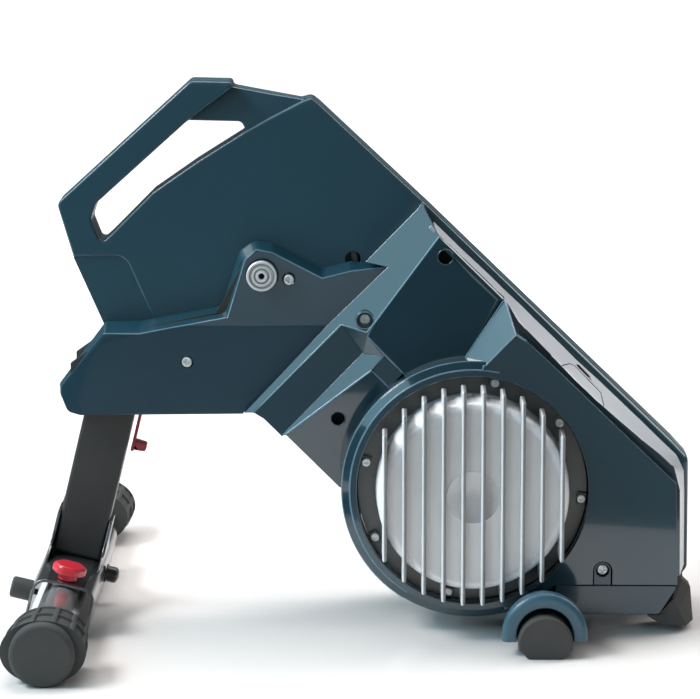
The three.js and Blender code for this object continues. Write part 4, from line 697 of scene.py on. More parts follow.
CASING_FRONT = [(-186.4, 359.5), (-202, 412.5), (-70.1, 532.8), (-30.1, 531.9), (-29, 526.3)]
HANDLE_BAR = [(-75.3, 491.9), (-163.9, 412), (-168.9, 396.6), (-159.5, 372.6), (-149.5, 381.6)]
HANDLE_FOOT = [(-107.6, 423.7), (-63.9, 454.1), (-16.4, 484), (7.8, 497.3), (38.2, 512.9)]
CASING_REAR = [(48, 516.5), (55.5, 510.6), (162.4, 410.4), (407.4, 174.3), (423, 157.2), (423, 46.9)]
CASING_UNDER = [(404.3, 20.3), (329.9, 20.3), (298, 64), (232.4, 101.3), (188.6, 110.9), (-50.8, 250.5)]
CASING_NECK = [(-77, 269.2), (-100, 285), (-108.6, 298), (-135.4, 359.9)]
NEAR_PANEL = CASING_FRONT + HANDLE_BAR + HANDLE_FOOT + CASING_REAR + CASING_UNDER + CASING_NECK
PANEL_ROUNDS = [
    1, 9, 8, 3, 1, 1, 12, 9, 7, 9, 9, 9, 5, 9, 4, 3, 6, 9, 10, 12, 9, 5, 9, 9, 9, 9, 9, 9, 6, 1, 14,
]
CORNER_PANEL = [(-157.6, 292.6), (-186.6, 358.8), (-184.6, 362.5), (-136, 362.5), (-100, 300), (-98, 290)]
BRIDGE = [
    (-52, 529), (-29, 525.8), (12.5, 518.2), (40, 513.9), (50, 509), (14, 490), (-9, 478),
    (-16.2, 484.5), (-20.8, 492.5), (-73.3, 493.6), (-84, 488),
]
BRIDGE_ROUNDS = [1, 1, 1, 1, 1, 1, 1, 5, 6, 1, 1]
CASING_HOLE = circle(7.6, (89, 358), 32)
HANDLE_HOLE = [HANDLE_BAR[1], (-73.3, 493.6), (-20.8, 492.5), *HANDLE_FOOT[2::-1], *HANDLE_BAR[:1:-1]]


def bridge_lean(spots):
    """The recessed bridge leans back as it rises."""
    return np.clip(0.2 * (spots[:, 1] - 480), 0, 10)


def belt_casing():
    """The near half with its recessed bridge and corner panel, and the far half with the hand hole."""
    outline = anticlockwise(rounded(NEAR_PANEL, PANEL_ROUNDS))
    rear = (outline[:, 0] > 170) & (outline[:, 1] > 60) & (outline[:, 0] + outline[:, 1] > 575)
    face_round, back = np.where(rear, 9.0, 2.4), CASING_SPLIT - CLEAR
    panel = plate(outline, CASING_FACE, back, face_round, 0.4, [CASING_HOLE], 0.5)
    corner = plate(rounded(CORNER_PANEL, 1), CASING_FACE + 1.8, back, 0.9, 0.4)
    bridge = rounded(BRIDGE, BRIDGE_ROUNDS)
    bridge = plate(bridge, CASING_FACE + 7, back, 1.6, 0.4, relief=bridge_lean)
    piece("near_belt_casing", [panel, corner, bridge], TEAL, "belt_casing_left")

    whole = [*CASING_FRONT, (-12, 523), (38, 513.8), *CASING_REAR, *CASING_UNDER]
    whole = rounded([*whole, (-77, 269.2), (-92.6, 290.5), (-157.6, 292.6)], 7)
    hole = rounded(HANDLE_HOLE, 7)
    shell = plate(whole, CASING_SPLIT + CLEAR, CASING_BACK, 0.4, 3.0, [hole], 0.4)
    piece("far_belt_casing", [shell], TEAL, "belt_casing_right")


# Steel frame

FRAME_PLATE = [
    (-189.5, 213.2), (-189.5, 255.8), (-148.9, 285.2), (-45.8, 306.5), (-22, 349.1), (-12, 361.4),
    (1.8, 364.6), (13.6, 361.4), (60.5, 341.1), (123, 341.1), (173, 330.5), (391.8, 143.9),
    (391.8, 48), (373, 29.3), (310.5, 29.3), (291.8, 16), (254.3, 16), (198, 32), (123, 69.3),
    (73, 135.9), (10.5, 202.5), (-45.8, 234.5), (-102, 239.9), (-120.8, 223.9), (-145.8, 213.2),
]
# Radius, centre and sides of each bore
FRAME_BORES = [(11.3, HUB, 48), (9.1, BRAKE, 48), (6.7, PIVOT, 40), (16.4, REAR_TUBE, 56)]
SPACERS = [(-185, 232), (50, 178), (378, 60)]


def near_frame_plate():
    """The plate that carries the near bearings, behind the arm and the near cover."""
    bores = [circle(*bore) for bore in FRAME_BORES]
    sheet = plate(rounded(FRAME_PLATE, 1.5, 3), PLATE_FACE, PLATE_BACK, 0.5, 0.5, bores, steps=2)
    seats = [
        sleeve(bearing + 0.4, bearing + 4, -48, -43, axis, sides=64, radius=0.4)
        for axis, bearing in ((HUB, 20.0), (BRAKE, 17.5))
    ]
    spacers = [sleeve(2, 6, -46, 10.7, spot, sides=32, radius=0.4) for spot in SPACERS]
    piece("near_frame_plate", [sheet, *seats, *spacers], BLACK_STEEL, "frame_plate_left")


# Front arm

ARM_EDGE = [
    (-155.1, 295.6), (-120, 296.4), (-40.5, 311), (-22.5, 366.5), (-8, 376.6), (9.5, 374.2),
    (60, 349), (86, 356), (121.2, 353), (67, 298.4), (-19.1, 206.8), (-180.1, 202.7),
    (-194.5, 205.7), (-202, 223.9), (-202, 232.9),
]
ARM_LEDGE = [
    (-155.6, 286.8), (-120.8, 286.9), (-33.5, 303.2), (-16.5, 359), (-5.5, 369.2), (9.5, 366.6),
    (59, 341.6), (86.5, 348.4), (120.4, 352.4), (66.6, 298.6), (-19.4, 207.2), (-180, 205.2),
    (-192.5, 208), (-199.2, 224.6), (-199.2, 231.6),
]
ARM_ROUNDS = [4, 3, 9, 15, 15, 15, 9, 14, 0.5, 2, 2, 8, 8, 6, 6]
ARM_CREASE = [(-158, 280.5), (-120.8, 287.3), (-70.6, 294.6), (-2, 294.4), (62, 295.2)]
# Shares across the ledge and up it, from the back edge to the face
ARM_RISE = [(0, 0), (0, 0.08), (0.03, 0.14), (0.1, 0.2), (0.5, 0.55), (0.9, 0.9), (0.97, 0.96), (1, 1)]
# The lean starts from this line, the crease without its slight sag
ARM_FOLD = ARM_CREASE[:3] + ARM_CREASE[4:]
ARM_CORNER = [(-176, 207), (-176, 216), (-158.2, 275.8), (-154.5, 287.4)]
# Radius, centre and sides of the holes for the hub's end cap and two screws, and how deep they are
ARM_HOLES = [(15.7, HUB, 64), (6.1, (26.2, 341.2), 32), (6.1, (-74, 259), 32)]
ARM_HOLE_FLOOR = ARM_FACE + 9
ARM_HOLE_ROUND = 0.7


def arm_relief(spots):
    """Above its crease the arm leans back; past its front corner line it turns away."""
    x, z = spots.T
    fold = np.interp(x, *np.transpose(ARM_FOLD))
    corner = np.interp(z, *np.transpose(ARM_CORNER)[::-1])
    return np.clip(0.11 * (z - fold), 0, 8.6) + np.clip(0.3 * (corner - x), 0, 8.6)


def arm_face(spots):
    """The station of the arm cover's face."""
    return ARM_FACE + arm_relief(spots)


def front_arm():
    """A creased face that leans back at its top, a ledge round it in a lighter teal as painted light, and
    a raised line along its edge whose lighter teal is a painted highlight.
    """
    outer = anticlockwise(rounded(ARM_EDGE, ARM_ROUNDS))
    inner = anticlockwise(rounded(ARM_LEDGE, ARM_ROUNDS))
    depth = COVER_BACK - ARM_FACE
    loops = []
    for share, rise in ARM_RISE:
        line = exact(outer) * (1 - share) + exact(inner) * share
        loops.append(stationed(line, COVER_BACK - rise * (depth - arm_relief(inner))))
    holes = [circle(*hole)[::-1] for hole in ARM_HOLES]
    rims = []
    for hole in holes:
        walls = []
        for share, drop in quarter(3):
            line = inset(hole, ARM_HOLE_ROUND * share)
            walls.append(stationed(line, ARM_FACE + ARM_HOLE_ROUND * drop + arm_relief(line)))
        walls.append(stationed(hole, ARM_HOLE_FLOOR))
        rims.append(grid(np.array(walls)))
    # A line close to each side of the crease keeps its bend tight
    crease, beside = np.array(ARM_CREASE), [0, 0.9]
    creases = [crease, crease[1:] + beside, crease[1:] - beside, ARM_CORNER[::-1]]
    face = cap([inner, *[inset(hole, ARM_HOLE_ROUND) for hole in holes]], arm_face, creases)
    sides = grid(np.array([stationed(inner, COVER_BACK), loops[-1]]))
    floors = [cap([hole], ARM_HOLE_FLOOR) for hole in holes]
    shell = [sides, face, cap([inner], COVER_BACK), *rims, *floors]
    band = grid(np.array([*loops, stationed(inner, COVER_BACK)]), wrap_rows=True)
    rim = np.array(ARM_LEDGE[:9], float)
    edge = bead(surface(rim[:, 0], arm_face(rim) + 0.5, rim[:, 1]), 0.8)
    piece("near_arm_cover", [shell], TEAL_DEEP, "arm_cover_left", sharp=24)
    # The ledge takes the lighter teal of the casing: painted light, for the band that faces the lamps
    piece("arm_cover_ledge", [[band]], TEAL, "arm_cover_left", sharp=24)
    piece("arm_cover_rim_highlight_line", edge, TEAL_EDGE_HIGHLIGHT, "arm_cover_left")


# Near cover

# Corners of the near cover's facets: x, z and station
COVER_POINTS = {
    "strip top": (151.4, 410.9, -63.7),
    "strip tip": (155.9, 417.2, -63.2),
    "ridge top": (173.1, 386.5, -77.5),
    "edge bend": (183.7, 377.7, -81),
    "rim": (236.6, 326.2, RIDGE),
    "slope top": (246.7, 296.2, COVER_FACE),
    "rear a": (256.4, 290.3, COVER_FACE),
    "rear b": (276.8, 271.7, COVER_FACE),
    "rear c": (337.9, 212.8, COVER_FACE),
    "rear d": (403.8, 149.5, COVER_FACE),
    "rear foot": (406.7, 48.2, COVER_FACE),
    "seam end": (316.1, 48.2, COVER_FACE),
    "brake middle": (206.1, 142.3, COVER_FACE),
    "low left": (76.1, 135.4, RIDGE),
    "spur foot": (23.2, 190.1, -78),
    "groove foot": (19.3, 188.2, -76.5),
    "foot corner": (1.8, 205.7, -76.5),
    "rib foot": (-7.6, 211.6, -75.8),
    "strip foot": (-17, 211, -74.7),
    "strip left": (66.1, 299.8, -73.2),
    "strip notch": (122.9, 355.5, -71.7),
    "strip shoulder": (101.1, 359.2, STRIP),
    "ridge low": (110.5, 302.2, RIDGE),
    "facet top": (103, 293.2, -84.5),
    "panel corner": (103.6, 289.4, RIDGE),
    "panel ring": (138.6, 253.2, -86.7),
    "rib top": (78, 299.5, -77),
    "groove top": (99.3, 271.3, -76),
    "spur top": (119.2, 269.2, -83),
    "spur mid": (107.4, 255.3, -84),
    "spur ring": (124.6, 238.8, -84),
    "slope foot": (198.8, 269.2, -86.5),
    "slope low": (218, 266.1, COVER_FACE),
    "under slope": (185.5, 245.2, RIDGE),
    "under level": (204.3, 245.2, COVER_FACE),
    "under panel": (148, 213.2, RIDGE),
    "under spur": (129.3, 191.9, SPUR),
    "under left": (110.5, 138.6, RIDGE),
}
# The facets, each with its corners in order
COVER_FACETS = {
    "strip": [
        "strip top", "strip tip", "ridge top", "ridge low", "facet top", "rib top", "rib foot",
        "strip foot", "strip left", "strip notch", "strip shoulder",
    ],
    "rib end": ["rib top", "facet top", "groove top"],
    "spur end": ["groove top", "facet top", "ridge low", "panel corner", "spur top"],
    "groove": ["rib top", "groove top", "groove foot", "foot corner", "rib foot"],
    "spur side": ["groove top", "spur top", "spur mid", "spur foot", "groove foot"],
    "corner fold": ["panel corner", "panel ring", "spur top"],
    "ring fold": ["spur top", "panel ring", "spur ring", "spur mid"],
    "low side": ["spur mid", "spur ring", "under spur", "under left", "low left", "spur foot"],
    "panel": [
        "panel ring", "panel corner", "ridge low", "ridge top", "edge bend", "rim", "slope foot",
        "under slope", "under panel",
    ],
    "slope": ["rim", "slope top", "slope low", "slope foot"],
    "slope end": ["slope foot", "slope low", "under level", "under slope"],
    "face": [
        "brake middle", "under level", "slope low", "slope top", "rear a", "rear b", "rear c",
        "rear d", "rear foot", "notch", "seam end", "along ring",
    ],
}
# Planes y = a x + b z + c of the wide facets: a, b and the named point that they pass through
COVER_PLANES = {
    "strip": (-0.3, 0.31, "ridge low"),
    "panel": (-0.01, 0.05, "ridge low"),
    "groove": (0.02, -0.02, "rib top"),
    "spur side": (-0.35, 0.35, "groove top"),
    "low side": (0.02, -0.12, "spur mid"),
}
# Ridges between facets, with the radius of the bead on each
COVER_RIDGES = [
    (["ridge top", "ridge low", "facet top"], 1.0),
    (["ridge low", "panel corner", "panel ring"], 0.7),
    (["facet top", "rib top", "rib foot"], 1.0),
    (["groove foot", "groove top", "spur top"], 0.5),
    (["spur foot", "spur mid", "spur ring"], 1.2),
    (["rim", "slope foot"], 0.7),
    (["rim", "slope top", "slope low"], 0.9),
    (["slope top", "rear a"], 0.9),
]
# Curved runs: the notch for the lower cover's tongue, and the edge along the ring over the rear foot
COVER_RUNS = {
    "notch": np.vstack([[342.8, 48.2], arc(9.3, LOWER_SCREW, 0, 180, 12), [324.2, 48.2]]),
    "along ring": arc(123.5, BRAKE, -49.8, -75, 12),
}
# Holes by facet: radius, centre and the station of the face round them
COVER_HOLES = {"panel": (7.2, (179, 367), -81.4), "low side": (6.7, (74.8, 206.5), -78.8)}
STRIP_SCREW = (101, 304.5)


def facet_plane(name):
    """The plane y = a x + b z + c of a facet, as a function of side-view spots: given, or the best fit."""
    points = np.array([COVER_POINTS[corner] for corner in COVER_FACETS[name] if corner in COVER_POINTS])
    if name in COVER_PLANES:
        a, b, corner = COVER_PLANES[name]
        x, z, y = COVER_POINTS[corner]
        return lambda spots: y + a * (spots[:, 0] - x) + b * (spots[:, 1] - z)
    known = np.column_stack([points[:, :2], np.ones(len(points))])
    a, b, c = np.linalg.lstsq(known, points[:, 2], rcond=None)[0]
    return lambda spots: a * spots[:, 0] + b * spots[:, 1] + c


def clear_of_opening(outline, radius):
    """An outline whose part inside the brake opening is replaced by an arc about the opening."""
    per_side = 80
    share = np.arange(per_side)[None, :, None] / per_side
    after = np.roll(outline, -1, axis=0)
    dense = (outline[:, None] + (after - outline)[:, None] * share).reshape(-1, 2)
    corner = np.tile(np.arange(per_side) == 0, len(outline))
    inside = np.linalg.norm(dense - BRAKE, axis=1) < radius
    if not inside.any():
        return outline
    first = np.flatnonzero(inside & ~np.roll(inside, 1))[0]
    dense, corner, inside = (np.roll(values, -first, axis=0) for values in (dense, corner, inside))
    run = int(np.argmin(inside))
    ends = dense[[0, run - 1]] - BRAKE
    angles = np.degrees(np.arctan2(ends[:, 1], ends[:, 0]))
    sweep = (angles[1] - angles[0] + 180) % 360 - 180
    bow = arc(radius, BRAKE, angles[0], angles[0] + sweep, max(4, int(abs(sweep) / 2.5)))
    return np.vstack([bow, dense[run:][corner[run:] & ~inside[run:]]])


def side_view(corner):
    """The side-view spots of a named corner or run of the near cover."""
    return COVER_RUNS[corner] if corner in COVER_RUNS else [COVER_POINTS[corner][:2]]


def near_cover():
    """One flat-topped block for each facet, a wall along the rear and a bead along each ridge in a lighter
    teal, a painted highlight.
    """
    holes = {name: circle(radius, centre, 32) for name, (radius, centre, _) in COVER_HOLES.items()}
    holes["strip"] = circle(8.0, STRIP_SCREW, 40, 9.4)
    blocks = []
    for name, corners in COVER_FACETS.items():
        outline = anticlockwise(np.vstack([side_view(corner) for corner in corners]))
        outline = clear_of_opening(outline, COVER_FACE_EDGE if name == "face" else FACET_EDGE)
        round_by_point = np.full(len(outline), 0.5)
        if name == "panel":
            for bend in ("edge bend", "rim"):
                round_by_point[np.abs(outline - side_view(bend)).sum(1).argmin()] = 7.0
        cut = [holes[name]] if name in holes else []
        plane = facet_plane(name)
        blocks.append(plate(outline, 0, COVER_BACK, round_by_point, 0.3, cut, 0.8, relief=plane, steps=6))
    flank = np.vstack([[236.6, 314], SPINE_NEAR[6:], [(398, 51.2), (310, 120), (226, 250)]])
    flank = clear_of_opening(anticlockwise(flank), FACET_EDGE)
    blocks.append(plate(flank, -91, COVER_BACK, 0.6, 0.3))
    lines = []
    for corners, radius in COVER_RIDGES:
        line = np.array([COVER_POINTS[corner] for corner in corners])[:, [0, 2, 1]]
        lines += bead(line + [0, 0.4 * radius, 0], radius)
    piece("near_cover", blocks, TEAL_GLOSS, "main_cover_left", sharp=24)
    piece("near_cover_ridge_highlight_lines", lines, TEAL_EDGE_HIGHLIGHT, "main_cover_left")


def brake_ring():
    """The ring round the brake opening with beads of painted highlight on its edges, and the rims of the
    near cover's holes.
    """
    profile = [(OPENING, COVER_FACE), (RING_FACE, COVER_FACE), (RING_OUTER, COVER_FACE + 4.5)]
    profile += [(RING_OUTER, -56.5), (OPENING, -92)]
    ring = turned(rounded(profile, [1.4, 1.6, 2.4, 0.1, 0.1], 6), BRAKE, sides=144)
    # Two beads in the lighter teal along the ring's edges: painted highlight
    bow = arc(1, (0, 0), 78, 238, 60)
    lines = bead(stationed(BRAKE + bow * RING_FACE, COVER_FACE + 0.3), 0.8)
    lines += bead(stationed(BRAKE + bow * (RING_OUTER - 0.3), COVER_FACE + 5), 0.7)
    piece("brake_opening_ring", [ring], TEAL_GLOSS, "main_cover_left", sharp=28)
    piece("brake_ring_rim_highlight_lines", lines, TEAL_EDGE_HIGHLIGHT, "main_cover_left")
    cup = [(4, -72.8), (8.0, -72.8), (8.0, -81.6), (9.6, -81.6), (9.6, -60), (4, -60)]
    cup = turned(rounded(cup, 0.5, 4), STRIP_SCREW, sides=48)
    # A lip in the lighter teal round the screw cup: painted highlight
    lip = [(8.0, -80.5), (8.0, -82.3), (9.0, -82.3), (9.0, -80.5)]
    lip = turned(rounded(lip, 0.4, 4), STRIP_SCREW, sides=48)
    piece("strip_screw_rim_highlight_line", [lip], TEAL_EDGE_HIGHLIGHT, "main_cover_left")
    wells, rims = [], []
    floor = -62
    for radius, centre, face in COVER_HOLES.values():
        well = [(0, floor), (radius - 0.1, floor), (radius - 0.1, face + 1.4), (radius + 1, face + 2)]
        well += [(radius + 1, floor + 2), (0, floor + 2)]
        wells.append(turned(well, centre, sides=40))
        inner, outer, back, front = radius - 0.4, radius + 0.9, face + 2, face - 0.7
        rim = rounded([(inner, back), (inner, front), (outer, front), (outer, back)], 0.6, 4)
        rims.append(turned(rim, centre, sides=48))
    piece("screw_cup_and_hole_rims", [cup, *rims], TEAL_GLOSS, "main_cover_left")
    piece("cover_hole_wells", wells, DARK, "main_cover_left")


# Brake unit


# Where the back shell's screw pads sit, in shares of a turn
SCREW_PADS = (-0.015, 0.105, 0.218, 0.461, 0.576, 0.715)


def brake_unit():
    """A dished round housing with straight fins, and the shell behind it with its screw pads."""
    dish = np.linspace(0, 1, 10)
    dimple = np.column_stack([24.6 * dish, HOUSING_FACE + 7 * (1 - dish**2)])
    lip = [(25.6, HOUSING_FACE - 0.7), (27.5, HOUSING_FACE)]
    shoulder = crown(HOUSING_RIM, HOUSING_FACE, 11)
    back = [(HOUSING_RIM + 1.5, HOUSING_BACK), (HOUSING_RIM - 6, HOUSING_BACK)]
    back += [(HOUSING_RIM - 6, HOUSING_FACE + 13), (0, HOUSING_FACE + 13)]
    dome = turned(np.vstack([dimple, lip, shoulder, back]), BRAKE, sides=144)
    section = [(-2.5, FIN_FOOT), (-2.1, FIN_EDGE), (2.1, FIN_EDGE), (2.5, FIN_FOOT)]
    section = rounded(section, [0.2, 1.7, 1.7, 0.2], 5)
    fins = []
    for number in range(FINS):
        offset = (number - (FINS - 1) / 2) * FIN_SPACING
        reach = math.sqrt(FIN_REACH**2 - offset**2)
        loops = []
        for end, share in ((-reach, 0.72), (-reach + 1.2, 1), (reach - 1.2, 1), (reach, 0.72)):
            across = BRAKE[0] + offset + section[:, 0] * share
            loops.append(surface(across, section[:, 1] + (1 - share) * 2, BRAKE[1] + end))
        fins.append(skin(loops))
    piece("brake_housing_dome", [dome], CASTING, "brake_housing", sharp=30)
    piece("brake_housing_fins", fins, FIN_CASTING, "brake_housing", sharp=30)

    ring = [(84, -97), (112, -97), (112, -93), (90, -93), (90, -56.5), (10, -56.5), (10, -61.5)]
    ring = rounded([*ring, (84, -61.5)], [0.5, 0.5, 0.5, 2, 2, 0.5, 0.5, 2], 3)
    shell = turned(ring, BRAKE, sides=120)
    pad = block((102.5, -100, -6), (111.7, -97.1, 6))
    pads = [spun(pad, math.radians(share * 360), BRAKE) for share in SCREW_PADS]
    # The back shell's dark grey is painted shade
    piece("brake_back_shell", [shell], DULL_AND_SHADED_CASTING, "brake_back_shell")
    piece("screw_pads_of_the_back_shell", pads, DULL_AND_SHADED_CASTING, "brake_back_shell", bevel=0.8)


# Spine, lower cover, rear feet

# Side-view lines down the spine, nearest first, with the station of each point of the near one
SPINE_NEAR = [
    (165, 396.5), (178.6, 382.4), (189.2, 373), (199, 362.8), (213.8, 348.2), (229.3, 333.6),
    (242.1, 318.8), (249.6, 306), (266.1, 287.4), (286.7, 267.5), (305.4, 247.8), (326.1, 228),
    (350, 207), (371.5, 188.4), (390.3, 173.2), (403.5, 160.5), (409.5, 138.2), (410.8, 51.2),
]
SPINE_STATION = [-74, -74, -74, -74, -74, -74, -78, -86, *[-88] * 10]
SPINE_FAR = [
    (164.8, 399), (187.1, 377.4), (197, 367.6), (207.8, 357.6), (223.7, 342.7), (238.5, 327.9),
    (254.4, 313.2), (269.3, 298.4), (290.2, 278.2), (310.2, 258.2), (332.2, 238), (353.2, 217.9),
    (374.3, 197.7), (394.5, 177.7), (410.6, 162.4), (417.8, 147), (418.6, 126.7), (419.6, 51.2),
]
SPINE_BACK = -40
# Shares from the near line to the far one, and how far under the surface
SPINE_SECTION = [(0, 3), (0, 1), (0.008, 0.3), (0.025, 0), (0.97, 0), (0.99, 0.35), (1, 1.2), (1, 8)]
# Places on the band: a count of drawn points down it and a share across it
DOOR_SEAM = [(9.3, 0.02), (9.2, 0.45), (9.3, 0.58), (10.65, 0.5), (11.3, 0.03)]
SOCKET = [(9.3, 0.72), (9.9, 0.68)]
SOCKET_CLIP = [(9.9, 0.66), (9.98, 0.66)]
VENT = [(7.5, -0.06), (8.8, -0.06)]


def spine_lines(counts):
    """The near and far lines' side-view spots and the near one's station, at counts of drawn points."""
    drawn_points = np.arange(len(SPINE_FAR))
    near, far = (
        np.column_stack([np.interp(counts, drawn_points, values) for values in np.transpose(line)])
        for line in (SPINE_NEAR, SPINE_FAR)
    )
    return near, far, np.interp(counts, drawn_points, SPINE_STATION)


def on_spine(places):
    """Points (x, y, z) of the band's surface."""
    counts, share = np.array(places).T
    near, far, station = spine_lines(counts)
    spots = near + (far - near) * share[:, None]
    return np.column_stack([spots[:, 0], station + (SPINE_BACK - station) * share, spots[:, 1]])


def rear_spine():
    """A band between the near cover's edge and the casing, a loft of lines that run down the rear."""
    near, far, station = spine_lines(np.linspace(0, len(SPINE_FAR) - 1, 79))
    along = unit(np.gradient(far, axis=0))
    inward = np.column_stack([along[:, 1], -along[:, 0]])
    share, under = np.transpose(SPINE_SECTION)
    loops = []
    for spot_far, spot_near, into, first in zip(far, near, inward, station):
        line = spot_near + (spot_far - spot_near) * share[:, None] + into * under[:, None]
        loops.append(stationed(line, first + share * (SPINE_BACK - first)))
    piece("rear_spine", [skin(loops)], SILVER, "rear_spine", sharp=40)
    marks = [*bead(on_spine(DOOR_SEAM), 0.45), *bead(on_spine(SOCKET), 1.7), *bead(on_spine(VENT), 1.1)]
    piece("port_door_seam_and_slots", marks, DARK, "rear_spine")
    piece("port_clip", bead(on_spine(SOCKET_CLIP), 1.3), STEEL, "rear_spine")


def lower_cover():
    """A strip over the rear foot with a screwed tongue that stands up into the near cover."""
    outline = rounded([(286, 37), (288, 47.6), (406.8, 47.6), (389.3, 18.7), (300, 18.7)], [1, 1, 2, 4, 1])
    body = plate(outline, COVER_FACE, COVER_BACK, 0.8, 0.5)
    tongue = np.vstack([[342.2, 40], arc(8.6, LOWER_SCREW, 0, 180, 20), [324.8, 40]])
    tongue = plate(tongue, COVER_FACE + 2.6, -92, 0.8, 0.4, [circle(6.4, LOWER_SCREW, 40)], 0.6)
    well = sleeve(0, 6.5, -103, -95, LOWER_SCREW, sides=40)
    piece("lower_rear_cover", [body, tongue], TEAL_DEEP, "lower_rear_cover")
    piece("lower_screw_well", [well], DARK, "lower_rear_cover")


def rear_feet():
    """Half-round shrouds that taper toward the middle, pads with flat soles and the tube between."""
    profile = [(27, REAR_TUBE_END), (41.5, REAR_TUBE_END), (40, -180), (31, -148), (23, -112), (20, -112)]
    profile = rounded([*profile, (20, -144), (27, -144)], [1.5, 9, 20, 20, 1, 1, 1, 1], 8)
    radius, station = profile.T
    angles = np.concatenate([[0, 0], np.linspace(0, 180, 61)[1:-1], [180, 180]])
    t = np.radians(angles)[:, None]
    # The shroud's two ends run straight down past the half turn
    drop = np.zeros_like(t)
    drop[[0, -1]] = 6.0
    x, z = REAR_FOOT[0] + radius * np.cos(t), REAR_FOOT[1] + radius * np.sin(t) - drop
    shroud = skin(surface(x, station, z))
    middle = REAR_FOOT[0]
    sole = [(middle - 16, 0), (middle + 16, 0)]
    pad = plate(np.vstack([arc(26, (middle, 14.8), -13, 193, 40), sole]), -210, -146, 2.2, 1.0, steps=5)
    for label, turn in SIDES:
        piece(f"{label}_rear_shroud", [turn(shroud)], BLUE, f"rear_shroud_{label}")
        piece(f"{label}_rear_pad", [turn(pad)], GREY_RUBBER, f"rear_foot_pad_{label}")
    tube = sleeve(13.5, 16, REAR_TUBE_END, -REAR_TUBE_END, REAR_TUBE, sides=64, radius=0.4)
    piece("rear_cross_tube", [tube], BLACK_STEEL, "rear_cross_tube")


def wedges():
    """Rubber bumpers at the rear end, the near one cut back toward its near face."""
    near_line = [(375.5, 18), (389, 18.4), (402.5, 33.5), (405, 32), (409, 24), (417.5, 6.2), (393, 6.6)]
    full_line = [(375.5, 18), (389, 18.4), (407.4, 46.9), (413.6, 47.8), (421.5, 40.5), (424.7, 6)]
    near_loop = anticlockwise(rounded(near_line, 1.2, 3))
    full_loop = anticlockwise(rounded([*full_line, (393, 5)], 1.2, 3))
    loops = [stationed(inset(near_loop, 0.7), -110), stationed(near_loop, -109)]
    loops += [stationed(full_loop, -88), stationed(full_loop, -68)]
    piece("left_wedge_bumper", [skin(loops)], GREY_RUBBER, "wedge_bumper_left", sharp=20)
    keep("wedge_bumper_right", GREY_RUBBER, 1.2)


# Hub


def hub_caps():
    """The near end cap with its grooved face and dark bore, and the plain far one."""
    # Radii across the near cap's grooved face, and how far each lies behind the dropout
    near = [(2.8, 0.5), (3.2, 0), (5.4, 0), (5.9, 1.6), (7.0, 1.6), (7.5, 0.4), (9.6, 0.4), (10.1, 1.9)]
    near += [(11.2, 1.9), (11.7, 0.3), (14.2, 0.3), (15.0, 1.2)]
    near = [(radius, DROPOUT + depth) for radius, depth in near]
    near += [(15.0, -60.4), (11, -60.4), (11, -51.2), (2.8, -51.2)]
    bore = sleeve(0, 2.9, DROPOUT + 5, -52, HUB, sides=40)
    piece("near_end_cap", [turned(rounded(near, 0.25, 2), HUB, sides=96)], BRIGHT_CAP, "left_end_cap")
    piece("near_end_cap_bore", [bore], DARK, "left_end_cap", slot="polished_metal")
    far = [(2.6, -DROPOUT), (9.6, -DROPOUT), (11, 63.6), (11, 59.4), (2.6, 59.4)]
    piece("far_end_cap", [turned(rounded(far, 0.4, 3), HUB, sides=72)], BRIGHT_CAP, "right_end_cap")


# Drive side cover

DRIVE_COVER = [
    (91.8, 298.5), (173, 383.8), (401.1, 159.9), (407.4, 149.2), (407.4, 48), (389.3, 20.3),
    (321.8, 20.3), (305.5, 53.3), (235.5, 53.3), (198, 24), (129.3, 53.3), (79.3, 127.9),
    (35.5, 191.9),
]


def drive_cover():
    """A skirt, a round wall over the flywheel and a disc with upright slots."""
    skirt = plate(rounded(DRIVE_COVER, 8), 16.4, 38, 0.4, 5.0, [circle(100, BRAKE, 96)], 0.4)
    wall = [(95, 57), (97, 60), (98, 60), (106, 38), (106, 20), (103, 20), (103, 37)]
    dome = turned(rounded(wall, [0.3, 0.3, 3, 5, 0.5, 0.3, 3], 4), BRAKE, sides=120)
    slots = []
    for number in range(5):
        x = BRAKE[0] + (number - 2) * 13
        corners = [(x - 2.5, 119), (x + 2.5, 119), (x + 2.5, 165), (x - 2.5, 165)]
        slots.append(rounded(corners, 2.4, 4))
    disc = plate(circle(97.6, BRAKE, 120), 57, 60, 0.2, 0.6, slots, 0.2)
    piece("flywheel_cover", [skirt, dome, disc], TEAL, "flywheel_cover")


# Front leg

LEG_LENGTH = math.hypot(FRONT_TUBE[0] - PIVOT[0], PIVOT[1] - FRONT_TUBE[1])
LEG_LEAN = math.atan2(PIVOT[0] - FRONT_TUBE[0], PIVOT[1] - FRONT_TUBE[1])
# Heights in the leg's own frame, whose zero is the pivot: the front tube's axis, the saddle's top and
# the foot of the leg's tube; then the knob's place (x, y), and the stop's and the nut's (y, z)
SADDLE_LOW = -LEG_LENGTH
SADDLE_TOP = SADDLE_LOW + 23.6
LEG_FOOT = SADDLE_LOW + 24.3
KNOB_PLACE = (0, -118)
STOP_PLACE = (-95, SADDLE_LOW - 2)
NUT_PLACE = (-4, SADDLE_LOW + 8)


def leaned(*solids):
    """Shells from the leg's own upright frame about its pivot to the drawing's."""
    return [spun(patches, -LEG_LEAN, PIVOT) for patches in solids]


def front_leg():
    """The leg's tube with the barrel on its pivot and the lever's two lugs."""
    corners = [(-24.5, LEG_FOOT), (24.5, LEG_FOOT), (24.5, 20), (-24.5, 20)]
    tube = plate(rounded(corners, [4, 4, 23, 23], 12), -27, 9, 3.6, 3.6, steps=5)
    barrel = sleeve(6.6, 13, -50.4, 10.4, sides=48, radius=0.8, steps=3)
    lugs = [block((21.5, y, -40), (34.4, y + 4, -28)) for y in (-21, -1)]
    piece("leg_tube", leaned(tube, barrel, *lugs), BLACK_STEEL, "leg_tube", "front_leg")


